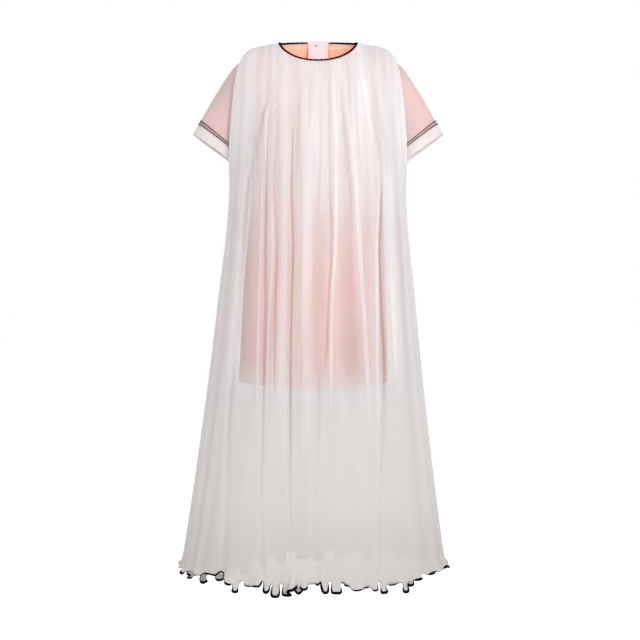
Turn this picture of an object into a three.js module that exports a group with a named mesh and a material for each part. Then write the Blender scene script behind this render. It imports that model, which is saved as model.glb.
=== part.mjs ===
// A floor-length tulle dress, hollow and filled out as if worn. A sheer overlay is gathered into the
// neck and falls free to a rippled hem. Under it lies a straight knee-length slip with short sleeves,
// each sleeve lined to its stitched band and finished with a sheer cuff.
// Millimetres, +Z up, the front faces -Y. The origin lies between the two points where the shoulder
// seams meet the neck, where the wearer holds the dress up.

import * as THREE from 'three';

// Cloth thicknesses and the gaps left between pieces.
const TULLE_WALL = 1.3;
const SLIP_WALL = 1.6;
const MESH_WALL = 1.2;
const CUFF_WALL = 2.0;
const TAB_WALL = 1.2;
const SEAM_GAP = 0.3;

// How many gathers each overlay panel has at the neck, and as many ripples at the hem. Every second
// gather opens into a fold. A gather takes four columns of the wall.
const GATHERS_PER_PANEL = 32;
const COLUMNS_PER_GATHER = 4;
const GATHERS_PER_FOLD = 2;
const PLAIN_ROW_STRIDE = 2;

// The skirt hangs a little to one side: its hem is centred this far from the neck's centre.
const HEM_LEAN = -12;
const LEAN_STARTS_Z = -300;
const HEM_Z = -1388;

// Unevenness of the folds: each wave of depth has a share of the fold's size, a count across the
// panel and a start.
const FOLD_UNEVENNESS = [
  { share: 0.3, turns: 2.3, start: 0.9 },
  { share: 0.22, turns: 4.7, start: 2.4 },
];

// The largest folds, as troughs of a depth and a half width. Their places are shares of the panel's
// half width at the two heights between which they run.
const FRONT_TROUGHS = [
  { topZ: -200, top: -0.8, endZ: -1388, end: -0.66, depth: 9, width: 18 },
  { topZ: -230, top: -0.58, endZ: -1388, end: -0.4, depth: 7, width: 15 },
  { topZ: -330, top: -0.45, endZ: -800, end: -0.42, depth: 4, width: 12 },
  { topZ: -170, top: -0.22, endZ: -1388, end: -0.18, depth: 6, width: 14 },
  { topZ: -700, top: 0.05, endZ: -1388, end: 0.02, depth: 7, width: 16 },
  { topZ: -200, top: 0.4, endZ: -1100, end: 0.48, depth: 6, width: 14 },
  { topZ: -300, top: 0.67, endZ: -1388, end: 0.54, depth: 10, width: 18 },
  { topZ: -200, top: 0.8, endZ: -700, end: 0.86, depth: 4, width: 12 },
];
const BACK_TROUGHS = [
  { topZ: -180, top: -0.72, endZ: -1388, end: -0.62, depth: 8, width: 17 },
  { topZ: -140, top: -0.36, endZ: -1388, end: -0.33, depth: 6, width: 14 },
  { topZ: -420, top: -0.08, endZ: -1388, end: -0.05, depth: 7, width: 16 },
  { topZ: -150, top: 0.27, endZ: -1388, end: 0.24, depth: 6, width: 14 },
  { topZ: -220, top: 0.62, endZ: -1388, end: 0.52, depth: 9, width: 18 },
];
const TROUGH_FADE = 120;

// The overlay, row by row from the neck edge to the hem. half is the panel's half width at its edge,
// front and back are the depths at the centre, and the three z columns are the heights at the side,
// the centre front and the centre back. slit is how far the panel's edge stands from the side plane
// where the armhole parts it. gather and fold are the half heights of the waves, and lift is how far
// a ripple raises the cloth. dip, where it isn't DIP_POWER, is the power of the row's own curve. A
// row with gathers has all of the wall's columns, and a plain one takes every second.
const OVERLAY_ROWS = [
  {
    at: 'neck edge', half: 104, front: 80, back: 64, sideZ: 0, frontZ: -63, backZ: 12,
    gather: 0.8,
  },
  {
    at: 'gathers', half: 113, front: 86, back: 70, sideZ: -1.5, frontZ: -75, backZ: 1,
    gather: 1.5, fold: 0.3,
  },
  {
    at: 'collar bone', half: 130, front: 99, back: 84, sideZ: -5, frontZ: -98, backZ: -22,
    dip: 1.4, gather: 2.2, fold: 1,
  },
  {
    at: 'shoulder', half: 160, front: 118, back: 102, sideZ: -11, frontZ: -136, backZ: -65,
    dip: 1.6, fold: 2,
  },
  {
    at: 'shoulder tip', half: 190, front: 137, back: 117, sideZ: -26, frontZ: -182, backZ: -118,
    dip: 1.9, fold: 3,
  },
  {
    at: 'armhole top', half: 204, front: 143, back: 121, sideZ: -58, frontZ: -212, backZ: -160,
    dip: 1.9, slit: 48, fold: 3.2,
  },
  {
    at: 'armhole front', half: 217, front: 148, back: 124, sideZ: -135, frontZ: -256, backZ: -222,
    dip: 1.9, slit: 70, fold: 3.6,
  },
  {
    at: 'armhole middle', half: 225, front: 152, back: 127, sideZ: -220, frontZ: -298, backZ: -280,
    slit: 72, fold: 3.9,
  },
  {
    at: 'armhole low', half: 230, front: 155, back: 130, sideZ: -300, frontZ: -338, backZ: -330,
    slit: 60, fold: 4.2,
  },
  {
    at: 'armhole turn', half: 231, front: 157, back: 132, sideZ: -345, frontZ: -364, backZ: -360,
    slit: 36, fold: 4.5,
  },
  {
    at: 'underarm', half: 231, front: 159, back: 134, sideZ: -372, frontZ: -384, backZ: -382,
    fold: 4.8,
  },
  { at: 'hip', half: 257, front: 181, back: 155, sideZ: -670, frontZ: -670, backZ: -670, fold: 6 },
  {
    at: 'slip hem', half: 287, front: 204, back: 177, sideZ: -940, frontZ: -940, backZ: -940,
    fold: 7,
  },
  {
    at: 'above hem', half: 338, front: 242, back: 217, sideZ: -1320, frontZ: -1320, backZ: -1320,
    fold: 8,
  },
  {
    at: 'ripple', half: 346, front: 248, back: 223, sideZ: -1364, frontZ: -1364, backZ: -1364,
    gather: 5, fold: 8,
  },
  {
    at: 'hem', half: 351, front: 251, back: 226, sideZ: HEM_Z, frontZ: HEM_Z, backZ: HEM_Z,
    gather: 10, fold: 8, lift: 7,
  },
];

// The slip, in the same columns. Its armhole rows follow the sleeve root's oval.
const ARMHOLE = { topX: 180, topZ: -37, underX: 168, underZ: -249, halfDepth: 58, rows: 6 };
const SLIP_COLUMNS = 18;
const SLIP_ABOVE_ARMHOLE = [
  {
    at: 'neck edge', half: 103.6, front: 77.3, back: 61.3, sideZ: -3.2, frontZ: -64.4, backZ: 10.4,
  },
  { at: 'gathers', half: 112.3, front: 81, back: 64.7, sideZ: -7, frontZ: -77.8, backZ: -2.1 },
  {
    at: 'collar bone', half: 129, front: 92, back: 77, sideZ: -12, frontZ: -101, backZ: -26,
    dip: 1.4,
  },
  {
    at: 'shoulder', half: 157, front: 106, back: 91, sideZ: -21, frontZ: -136, backZ: -67,
    dip: 1.6,
  },
];
const SLIP_BESIDE_ARMHOLE = {
  front: [115, 128], back: [99, 112], frontZ: [-168, -288], backZ: [-110, -288],
};
const SLIP_BELOW_ARMHOLE = [
  { at: 'waist', half: 173, front: 123, back: 109, sideZ: -460, frontZ: -460, backZ: -460 },
  { at: 'hip', half: 181, front: 127, back: 115, sideZ: -670, frontZ: -670, backZ: -670 },
  { at: 'hem', half: 190, front: 133, back: 121, sideZ: -886, frontZ: -886, backZ: -886 },
];

// The right sleeve's sections from its root to the cuff's edge: the top and under points in the X-Z
// plane and half the tube's depth. The lining ends at the stitched band and the cuff starts there.
const SLEEVE_COLUMNS = 22;
const SLEEVE_STATIONS = [
  { at: 'root', topX: 182.2, topZ: -37, underX: 170.2, underZ: -249, depth: 58 },
  { at: 'head', topX: 198, topZ: -50, underX: 177, underZ: -256, depth: 60 },
  { at: 'upper', topX: 221, topZ: -71, underX: 181, underZ: -266, depth: 59 },
  { at: 'middle', topX: 254, topZ: -119, underX: 185, underZ: -281, depth: 56 },
  { at: 'stitched band', topX: 309, topZ: -215, underX: 189, underZ: -309, depth: 51 },
];
const CUFF_END = { at: 'cuff edge', topX: 325, topZ: -242, underX: 194, underZ: -336, depth: 49 };
const MESH_AT_ROOT = { top: 4.5, side: 4.5, under: 4.5, shift: 1.6 };
const MESH_OFF_LINING = { top: 3, side: 3, under: 7, shift: 0 };
const ON_LINING = { top: 0, side: 0, under: 0, shift: 0 };
const CUFF_STARTS_OFF = 0.6;

// The dark edging round the neck, and the plain pale tab that interrupts it at the centre back.
const EDGING_RADIUS = 2.2;
const EDGING_SIDES = 6;
const EDGING_STEPS = 56;
const EDGING_POINTS = 12;
const EDGING_OFF_CLOTH = 0.7;
const TAB_WIDTH = 52;
const TAB_COLUMNS = 8;
const TAB_FOLD = [
  { along: 14, off: 4.8 },
  { along: 5, off: 4.4 },
  { along: 0, off: 3.8 },
  { along: -4.6, off: 2.4 },
  { along: -6.4, off: -0.4 },
  { along: -5.6, off: -3.4 },
  { along: -1.5, off: -5.6 },
];
const TAB_LEG_SETBACK = 1;
const TAB_STRAIGHT_FROM_Z = 9;
const TAB_HANGS_TO_Z = -62;
const SNAP = { radius: 2.4, height: 1.2, x: -5, z: 5.4, sides: 16 };

// How square the panels are in plan, and how the neck curve dips between its sides and centre.
const PLAN_POWER = 2.2;
const DIP_POWER = 1.25;
const RIM_POWER = 10;
const PARTING_POWER = 2.5;

// The least slope that a wall's thickness is corrected for, as a cosine.
const LEAST_SQUARENESS = 0.6;

const MATERIALS = {
  tulle: { color: 0xe9e4e0, roughness: 0.9, opacity: 0.6 },
  slip: { color: 0xf9b694, roughness: 0.85, opacity: 1 },
  mesh: { color: 0xefe0de, roughness: 0.9, opacity: 0.6 },
  edging: { color: 0x20202c, roughness: 0.6, opacity: 1 },
  tab: { color: 0xf6e2e0, roughness: 0.7, opacity: 1 },
};

/** Signed power, which makes the panels' plans superellipses. */
function signedPower(value, power) {
  return Math.sign(value) * Math.abs(value) ** power;
}

/** Linear step between two numbers. */
function between(from, to, share) {
  return from + (to - from) * share;
}

/** Smooth step from 0 to 1. */
function smooth(share) {
  return THREE.MathUtils.smoothstep(share, 0, 1);
}

/** Sideways shift of the skirt at a height. */
function leanAt(z) {
  const share = (LEAN_STARTS_Z - z) / (LEAN_STARTS_Z - HEM_Z);
  return HEM_LEAN * Math.max(0, share);
}

/** Angle round a panel's plan at a place across it. Near a parted edge the columns close up. */
function planAngle(across, edgeCos) {
  const parted = Math.PI / 2 - Math.acos(edgeCos);
  const sideways = Math.abs(across);
  return Math.sign(across) * (sideways * Math.PI / 2 - parted * sideways ** PARTING_POWER);
}

/** One point of a panel before it is gathered. across runs from -1 at its left to 1 at its right. */
function panelPoint(row, across, side) {
  const depth = side < 0 ? row.front : row.back;
  const centreZ = side < 0 ? row.frontZ : row.backZ;
  const edgeCos = ((row.slit ?? 0) / depth) ** (PLAN_POWER / 2);
  const angle = planAngle(across, edgeCos);
  const cosine = Math.max(0, Math.cos(angle));
  const plan = 2 / PLAN_POWER;
  const reach = signedPower(Math.sin(angle), plan) / Math.sqrt(1 - edgeCos ** 2) ** plan;
  const power = row.dip ?? DIP_POWER;
  const edgeDip = edgeCos ** power;
  const dip = (cosine ** power - edgeDip) / (1 - edgeDip);
  const z = between(row.sideZ, centreZ, dip);
  return new THREE.Vector3(row.half * reach + leanAt(z), side * depth * cosine ** plan, z);
}

/** Places across a panel, in the order that turns its faces outwards. */
function placesAcross(columns, side) {
  return Array.from({ length: columns + 1 }, (_, column) => -side * between(-1, 1, column / columns));
}

/** Normals of a grid of points, lengthened on sharp folds so that an offset keeps its thickness. */
function gridNormals(grid, wraps) {
  const columns = grid[0].length;
  const bands = wraps ? columns : columns - 1;
  const faces = grid.slice(0, -1).map((line, r) => Array.from({ length: bands }, (_, c) => {
    const next = (c + 1) % columns;
    const falling = grid[r + 1][next].clone().sub(line[c]);
    const rising = grid[r + 1][c].clone().sub(line[next]);
    return rising.cross(falling).normalize();
  }));
  return grid.map((line, r) => line.map((_, c) => {
    const touching = [];
    for (const faceRow of [r - 1, r]) {
      for (const faceColumn of [c - 1, c]) {
        const face = faces[faceRow]?.[wraps ? (faceColumn + bands) % bands : faceColumn];
        if (face) touching.push(face);
      }
    }
    const normal = new THREE.Vector3();
    touching.forEach((face) => normal.add(face));
    normal.normalize();
    const squareness = Math.min(...touching.map((face) => face.dot(normal)));
    return normal.divideScalar(Math.max(squareness, LEAST_SQUARENESS));
  }));
}

/** A grid moved along its normals by one distance. */
function offsetGrid(grid, normals, distance) {
  return grid.map((line, r) => (
    line.map((point, c) => point.clone().addScaledVector(normals[r][c], distance))
  ));
}

/** Triangles of one band between two rows, each given as its columns' vertex numbers. */
function bandTriangles(upper, lower) {
  const triangles = [];
  const cells = Math.min(upper.length, lower.length) - 1;
  const upperStep = (upper.length - 1) / cells;
  const lowerStep = (lower.length - 1) / cells;
  for (let cell = 0; cell < cells; cell += 1) {
    const [topLeft, topNext, topEnd] = upper.slice(cell * upperStep, (cell + 1) * upperStep + 1);
    const [lowLeft, lowNext, lowEnd] = lower.slice(cell * lowerStep, (cell + 1) * lowerStep + 1);
    if (topEnd !== undefined) {
      triangles.push([topLeft, lowLeft, topNext]);
      triangles.push([topNext, lowLeft, lowNext]);
      triangles.push([topNext, lowNext, topEnd]);
    } else {
      triangles.push([topLeft, lowLeft, lowNext]);
      triangles.push([topLeft, lowNext, topNext]);
    }
    if (lowEnd !== undefined) triangles.push([topNext, lowNext, lowEnd]);
  }
  return triangles;
}

/** A closed wall between two grids of one size. strides says how many columns each row steps over. */
function wallGeometry(outer, inner, wraps, strides) {
  const positions = [];
  const number = (grid) => grid.map((line, r) => {
    const row = [];
    for (let c = 0; c < line.length; c += strides[r]) {
      row.push(positions.length / 3);
      positions.push(...line[c].toArray());
    }
    if (wraps) row.push(row[0]);
    return row;
  });
  const outerRows = number(outer);
  const innerRows = number(inner);
  const indices = [];
  const addBand = (upper, lower, turned = false) => {
    for (const [a, b, c] of bandTriangles(upper, lower)) {
      indices.push(...(turned ? [a, c, b] : [a, b, c]));
    }
  };
  for (let r = 0; r < outer.length - 1; r += 1) {
    addBand(outerRows[r], outerRows[r + 1]);
    addBand(innerRows[r], innerRows[r + 1], true);
  }
  addBand(innerRows[0], outerRows[0]);
  addBand(outerRows.at(-1), innerRows.at(-1));
  if (!wraps) {
    const columnOf = (rows, c) => rows.map((row) => row.at(c));
    addBand(columnOf(outerRows, 0), columnOf(innerRows, 0));
    addBand(columnOf(outerRows, -1), columnOf(innerRows, -1), true);
  }
  const geometry = new THREE.BufferGeometry();
  geometry.setAttribute('position', new THREE.Float32BufferAttribute(positions, 3));
  geometry.setIndex(indices);
  geometry.computeVertexNormals();
  return geometry;
}

/** A wall of even thickness with the grid in its middle. adjust may square the normals at its rims. */
function wallFromGrid(grid, thickness, { wraps = false, adjust, strides = grid.map(() => 1) } = {}) {
  const normals = gridNormals(grid, wraps);
  adjust?.(normals);
  const outer = offsetGrid(grid, normals, thickness / 2);
  const inner = offsetGrid(grid, normals, -thickness / 2);
  return wallGeometry(outer, inner, wraps, strides);
}

/** Calls a function on both end points of each row that is sewn to the other panel. */
function atSeams(grid, rows, change) {
  grid.forEach((line, r) => {
    if (!rows[r].slit) [line[0], line[line.length - 1]].forEach(change);
  });
}

/** A panel's wall, with its sewn edges half a gap from the side plane and their rims square to it. */
function panelWall(grid, rows, side, thickness, strides) {
  atSeams(grid, rows, (point) => {
    point.y = side * SEAM_GAP / 2;
  });
  const squareRims = (normals) => atSeams(normals, rows, (normal) => {
    normal.y = 0;
    normal.normalize();
  });
  return wallFromGrid(grid, thickness, { adjust: squareRims, strides });
}

/** Depth of the largest folds at a place, given as a share of the panel's half width. */
function troughDepth(troughs, reach, half, z) {
  let depth = 0;
  for (const trough of troughs) {
    const down = THREE.MathUtils.clamp((trough.topZ - z) / (trough.topZ - trough.endZ), 0, 1);
    const off = (reach - between(trough.top, trough.end, down)) * half / trough.width;
    const opened = smooth((trough.topZ - z) / TROUGH_FADE);
    const closed = trough.endZ > HEM_Z ? smooth((z - trough.endZ) / TROUGH_FADE) : 1;
    depth += trough.depth * opened * closed * Math.exp(-off * off);
  }
  return depth;
}

/** Height of the gathers, folds and troughs at a place on an overlay panel. */
function waveHeight(row, point, across, side) {
  const turn = Math.PI * (across + 1);
  const gathers = (row.gather ?? 0) * Math.sin(turn * GATHERS_PER_PANEL);
  let size = row.fold ?? 0;
  for (const wave of FOLD_UNEVENNESS) {
    size += (row.fold ?? 0) * wave.share * Math.sin(turn * wave.turns + wave.start);
  }
  const folds = size * Math.sin(turn * GATHERS_PER_PANEL / GATHERS_PER_FOLD);
  const reach = (point.x - leanAt(point.z)) / row.half;
  const troughs = troughDepth(side < 0 ? FRONT_TROUGHS : BACK_TROUGHS, reach, row.half, point.z);
  return (gathers + folds - troughs) * (1 - Math.abs(across) ** RIM_POWER);
}

/** One overlay panel, gathered at the neck, folded down the skirt and rippled at the hem. */
function overlayPanel(side) {
  const places = placesAcross(GATHERS_PER_PANEL * COLUMNS_PER_GATHER, side);
  const grid = OVERLAY_ROWS.map((row) => places.map((across) => panelPoint(row, across, side)));
  const normals = gridNormals(grid, false);
  grid.forEach((line, r) => line.forEach((point, c) => {
    const row = OVERLAY_ROWS[r];
    const height = waveHeight(row, point, places[c], side);
    const ripple = Math.cos(Math.PI * (places[c] + 1) * GATHERS_PER_PANEL);
    point.addScaledVector(normals[r][c].normalize(), height);
    point.z += (row.lift ?? 0) * ripple * (1 - Math.abs(places[c]) ** RIM_POWER);
  }));
  const strides = OVERLAY_ROWS.map((row) => (row.gather ? 1 : PLAIN_ROW_STRIDE));
  return panelWall(grid, OVERLAY_ROWS, side, TULLE_WALL, strides);
}

/** The slip's rows, with those beside the armhole placed on its oval. */
function slipRows() {
  const beside = Array.from({ length: ARMHOLE.rows + 1 }, (_, step) => {
    const share = step / ARMHOLE.rows;
    const angle = Math.PI * share;
    const down = (1 - Math.cos(angle)) / 2;
    return {
      at: 'armhole',
      half: between(ARMHOLE.topX, ARMHOLE.underX, down),
      sideZ: between(ARMHOLE.topZ, ARMHOLE.underZ, down),
      front: between(...SLIP_BESIDE_ARMHOLE.front, share),
      back: between(...SLIP_BESIDE_ARMHOLE.back, share),
      frontZ: between(...SLIP_BESIDE_ARMHOLE.frontZ, share),
      backZ: between(...SLIP_BESIDE_ARMHOLE.backZ, share),
      slit: step > 0 && step < ARMHOLE.rows ? ARMHOLE.halfDepth * Math.sin(angle) : 0,
    };
  });
  return [...SLIP_ABOVE_ARMHOLE, ...beside, ...SLIP_BELOW_ARMHOLE];
}

/** One slip panel. */
function slipPanel(side) {
  const rows = slipRows();
  const places = placesAcross(SLIP_COLUMNS, side);
  const grid = rows.map((row) => places.map((across) => panelPoint(row, across, side)));
  return panelWall(grid, rows, side, SLIP_WALL, rows.map(() => 1));
}

/** One ring of a sleeve: an oval through its top and under points, grown by margins. */
function sleeveRing(station, margin, hand) {
  const top = new THREE.Vector3(station.topX + margin.shift, 0, station.topZ);
  const under = new THREE.Vector3(station.underX + margin.shift, 0, station.underZ);
  const upwards = top.clone().sub(under).normalize();
  top.addScaledVector(upwards, margin.top);
  under.addScaledVector(upwards, -margin.under);
  const ring = Array.from({ length: SLEEVE_COLUMNS }, (_, column) => {
    const angle = 2 * Math.PI * column / SLEEVE_COLUMNS;
    const point = under.clone().lerp(top, (1 + Math.cos(angle)) / 2);
    point.y = (station.depth + margin.side) * Math.sin(angle);
    point.x *= hand;
    return point;
  });
  return hand < 0 ? ring.reverse() : ring;
}

/** A station moved towards another by a distance along the sleeve's top. */
function stationTowards(station, other, distance) {
  const share = distance / Math.hypot(other.topX - station.topX, other.topZ - station.topZ);
  const moved = { at: station.at };
  for (const key of ['topX', 'topZ', 'underX', 'underZ', 'depth']) {
    moved[key] = between(station[key], other[key], share);
  }
  return moved;
}

/** The sleeve's inner tube of slip cloth. */
function sleeveLining(hand) {
  const rings = SLEEVE_STATIONS.map((station) => sleeveRing(station, ON_LINING, hand));
  return wallFromGrid(rings, SLIP_WALL, { wraps: true });
}

/** The sleeve's sheer outer tube. */
function sleeveMesh(hand) {
  const rings = SLEEVE_STATIONS.map((station, index) => (
    sleeveRing(station, index === 0 ? MESH_AT_ROOT : MESH_OFF_LINING, hand)
  ));
  return wallFromGrid(rings, MESH_WALL, { wraps: true });
}

/** The doubled sheer band that ends the sleeve. */
function sleeveCuff(hand) {
  const band = SLEEVE_STATIONS[SLEEVE_STATIONS.length - 1];
  const length = Math.hypot(CUFF_END.topX - band.topX, CUFF_END.topZ - band.topZ);
  const start = stationTowards(band, CUFF_END, CUFF_STARTS_OFF);
  const middle = stationTowards(band, CUFF_END, length / 2);
  const rings = [start, middle, CUFF_END].map((station) => sleeveRing(station, MESH_OFF_LINING, hand));
  return wallFromGrid(rings, CUFF_WALL, { wraps: true });
}

/** The middle of the neck edging at a place round the neck, over the edges of the overlay and slip. */
function edgingPoint(across, side) {
  const edge = panelPoint(OVERLAY_ROWS[0], across, side);
  const below = panelPoint(OVERLAY_ROWS[1], across, side);
  const away = edge.clone().sub(below).normalize();
  return edge.lerp(panelPoint(SLIP_ABOVE_ARMHOLE[0], across, side), 0.5)
    .addScaledVector(away, EDGING_RADIUS + EDGING_OFF_CLOTH);
}

/** The dark edging, a cord of thread round the neck from one side of the tab to the other. */
function neckEdging() {
  const tabShare = (TAB_WIDTH / 2 + EDGING_RADIUS) / OVERLAY_ROWS[0].half;
  const tabAcross = Math.asin(tabShare ** (PLAN_POWER / 2)) / (Math.PI / 2);
  const quarter = Array.from({ length: EDGING_POINTS }, (_, k) => k / EDGING_POINTS);
  const points = [
    ...quarter.map((share) => edgingPoint(between(-tabAcross, -1, share), 1)),
    ...quarter.map((share) => edgingPoint(between(-1, 0, share), -1)),
    ...quarter.map((share) => edgingPoint(between(0, 1, share), -1)),
    ...quarter.map((share) => edgingPoint(between(1, tabAcross, share), 1)),
    edgingPoint(tabAcross, 1),
  ];
  const path = new THREE.CatmullRomCurve3(points, false, 'centripetal');
  const corners = Array.from({ length: EDGING_SIDES }, (_, side) => {
    const angle = 2 * Math.PI * side / EDGING_SIDES;
    return new THREE.Vector2(Math.cos(angle), Math.sin(angle)).multiplyScalar(EDGING_RADIUS);
  });
  const section = new THREE.Shape(corners);
  return new THREE.ExtrudeGeometry(section, {
    steps: EDGING_STEPS, extrudePath: path, bevelEnabled: false,
  });
}

/** The tab's side view, from its short leg outside, over the neck edge and down inside. */
function tabProfile() {
  const edge = OVERLAY_ROWS[0];
  const next = OVERLAY_ROWS[1];
  const down = new THREE.Vector2(next.back - edge.back, next.backZ - edge.backZ).normalize();
  const out = new THREE.Vector2(-down.y, down.x);
  const profile = TAB_FOLD.map(({ along, off }) => new THREE.Vector2(edge.back, edge.backZ)
    .addScaledVector(down, along)
    .addScaledVector(out, off));
  const hangsAt = profile[profile.length - 1].x - TAB_LEG_SETBACK;
  profile.push(new THREE.Vector2(hangsAt, TAB_STRAIGHT_FROM_Z));
  profile.push(new THREE.Vector2(hangsAt, TAB_HANGS_TO_Z));
  return profile;
}

/** How far the tab bows with the neck edge away from its middle. */
function tabBow(x) {
  const edge = OVERLAY_ROWS[0];
  return edge.back * (1 - Math.sqrt(1 - (x / edge.half) ** 2));
}

/** The tab, a band folded over the back neck edge with its long leg hanging inside. */
function neckTab() {
  const grid = tabProfile().map(({ x: y, y: z }) => (
    Array.from({ length: TAB_COLUMNS + 1 }, (_, column) => {
      const x = between(-TAB_WIDTH / 2, TAB_WIDTH / 2, column / TAB_COLUMNS);
      return new THREE.Vector3(x, y - tabBow(x), z);
    })
  ));
  return wallFromGrid(grid, TAB_WALL);
}

/** A named mesh with its own material. */
function piece(name, geometry, { color, roughness, opacity }) {
  const material = new THREE.MeshStandardMaterial({
    color, roughness, metalness: 0, opacity, transparent: opacity < 1, side: THREE.DoubleSide,
  });
  const mesh = new THREE.Mesh(geometry, material);
  mesh.name = name;
  return mesh;
}

/** The small dark snap on the tab's inside. */
function neckSnap() {
  const disc = new THREE.CylinderGeometry(SNAP.radius, SNAP.radius, SNAP.height, SNAP.sides);
  const snap = piece('neck_snap', disc, MATERIALS.edging);
  const tabFace = tabProfile().at(-1).x - TAB_WALL / 2 - tabBow(Math.abs(SNAP.x) + SNAP.radius);
  snap.position.set(SNAP.x, tabFace - SEAM_GAP - SNAP.height / 2, SNAP.z);
  return snap;
}

const dress = new THREE.Group();
dress.add(piece('overlay_front', overlayPanel(-1), MATERIALS.tulle));
dress.add(piece('overlay_back', overlayPanel(1), MATERIALS.tulle));
dress.add(piece('slip_front', slipPanel(-1), MATERIALS.slip));
dress.add(piece('slip_back', slipPanel(1), MATERIALS.slip));
for (const [label, hand] of [['right', 1], ['left', -1]]) {
  dress.add(piece(`sleeve_lining_${label}`, sleeveLining(hand), MATERIALS.slip));
  dress.add(piece(`sleeve_mesh_${label}`, sleeveMesh(hand), MATERIALS.mesh));
  dress.add(piece(`cuff_${label}`, sleeveCuff(hand), MATERIALS.mesh));
}
dress.add(piece('neck_edging', neckEdging(), MATERIALS.edging));
dress.add(piece('neck_tab', neckTab(), MATERIALS.tab));
dress.add(neckSnap());

export default dress;
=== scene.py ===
"""A floor-length tulle dress: a sheer gathered overlay over a peach jersey slip, hollow as if worn.

Metres, +Z up, the front faces -Y. Each class below is one sub-assembly of the garment. It holds its
own sizes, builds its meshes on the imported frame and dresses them. A span is a start and a length,
and a wave is what makes a thing that repeats uneven.
"""

import logging
import math
from collections.abc import Callable
from dataclasses import dataclass, field
from enum import Enum

import bmesh
import bpy
import numpy as np
from mathutils import Matrix, Vector


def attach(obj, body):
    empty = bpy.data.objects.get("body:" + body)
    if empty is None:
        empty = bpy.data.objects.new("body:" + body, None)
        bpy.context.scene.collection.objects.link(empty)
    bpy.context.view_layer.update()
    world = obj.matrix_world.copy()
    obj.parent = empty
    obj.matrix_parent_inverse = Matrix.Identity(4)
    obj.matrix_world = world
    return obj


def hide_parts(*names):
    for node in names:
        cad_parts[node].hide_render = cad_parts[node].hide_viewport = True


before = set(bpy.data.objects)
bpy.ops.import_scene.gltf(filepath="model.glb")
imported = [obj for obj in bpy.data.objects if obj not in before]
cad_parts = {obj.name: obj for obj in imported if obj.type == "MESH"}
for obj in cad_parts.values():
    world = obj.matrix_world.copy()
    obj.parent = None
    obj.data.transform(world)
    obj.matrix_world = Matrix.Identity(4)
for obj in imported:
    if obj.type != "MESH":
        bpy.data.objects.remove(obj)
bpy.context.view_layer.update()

LOG = logging.getLogger("dress")
BODY = "root"

HEM_Z = -1.388
HEM_LEAN = -0.012
LEAN_STARTS_Z = -0.300
PLAN_POWER = 2.2
DIP_POWER = 1.25
PARTING_POWER = 2.5
RIM_POWER = 10.0
SEAM_GAP = 0.0004
TINY = 1e-12
COVER = "cover"
CLOTH_UV = "cloth"

Array = np.ndarray
Mesh = bmesh.types.BMesh
Piece = bpy.types.Object
Socket = bpy.types.NodeSocket
Pair = tuple[float, float]
Point = tuple[float, float, float]
Colour = tuple[float, float, float]
Offset = Callable[[Array, Array, Array], Array]


class Side(Enum):
    """The two panels of a garment, by the sign of the Y that they face."""

    FRONT = -1
    BACK = 1


class Hand(Enum):
    """The viewer's right and left, by the sign of X."""

    RIGHT = 1
    LEFT = -1


class Slot(Enum):
    """The record's material slots."""

    TULLE = "tulle"
    JERSEY = "slip_jersey"
    MESH = "sleeve_mesh"
    THREAD = "edging_thread"
    TAPE = "tab_tape"
    SNAP = "snap"


def smooth(share: Array) -> Array:
    """Smooth step of a share, held between 0 and 1."""
    held = np.clip(share, 0.0, 1.0)
    return held * held * (3.0 - 2.0 * held)


def rise(value: Array, span: Pair) -> Array:
    """Smooth step of a value from 0 to 1 over a span."""
    return smooth((value - span[0]) / span[1])


def between(start: Array, end: Array, share: Array) -> Array:
    """Linear step from start to end."""
    return start + (end - start) * share


def signed_power(value: Array, power: float) -> Array:
    """Power of a value that keeps its sign."""
    return np.sign(value) * np.abs(value) ** power


def unit(rows: Array) -> Array:
    """Rows of vectors brought to unit length."""
    return rows / (np.linalg.norm(rows, axis=1, keepdims=True) + TINY)


def lean_at(z: Array) -> Array:
    """Sideways shift of the skirt at a height."""
    share = (LEAN_STARTS_Z - z) / (LEAN_STARTS_Z - HEM_Z)
    return HEM_LEAN * np.maximum(0.0, share)


@dataclass(frozen=True)
class Wave:
    """One wave along or round a piece, by its size, its turns and where it starts."""

    size: float
    turns: float
    start: float = 0.0

    def at(self, turn: Array, shift: Array | float = 0.0) -> Array:
        """The wave's height at a place, moved along by a shift."""
        return self.size * np.sin(turn * self.turns + self.start + shift)


class Track:
    """Values that run smoothly through rows of a table.

    Args:
        knots: rising places, one for each row.
        values: the rows' values.
    """

    def __init__(self, knots: Array, values: list[float] | tuple[float, ...]) -> None:
        """Works out how steeply the values run through each row."""
        self.knots = knots
        self.values = np.array(values, float)
        steep = np.diff(self.values) / np.diff(knots)
        both = steep[:-1] * steep[1:]
        inner = np.where(both > 0, 2 * both / (steep[:-1] + steep[1:] + TINY), 0.0)
        self.slopes = np.concatenate([[steep[0]], inner, [steep[-1]]])

    def at(self, place: Array) -> Array:
        """The value at a place, by a monotone cubic that never overshoots its rows."""
        row = np.clip(np.searchsorted(self.knots, place, side="right") - 1, 0, len(self.knots) - 2)
        width = self.knots[row + 1] - self.knots[row]
        t = np.clip((place - self.knots[row]) / width, 0.0, 1.0)
        start, end = self.values[row], self.values[row + 1]
        leave, arrive = self.slopes[row] * width, self.slopes[row + 1] * width
        return (
            start * (2 * t**3 - 3 * t**2 + 1)
            + leave * (t**3 - 2 * t**2 + t)
            + end * (3 * t**2 - 2 * t**3)
            + arrive * (t**3 - t**2)
        )


@dataclass(frozen=True)
class Row:
    """One level of a panel: its half width, depths and heights, and how far an armhole parts it."""

    half: float
    front: float
    back: float
    side_z: float
    front_z: float
    back_z: float
    slit: float = 0.0
    dip: float = DIP_POWER


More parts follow.
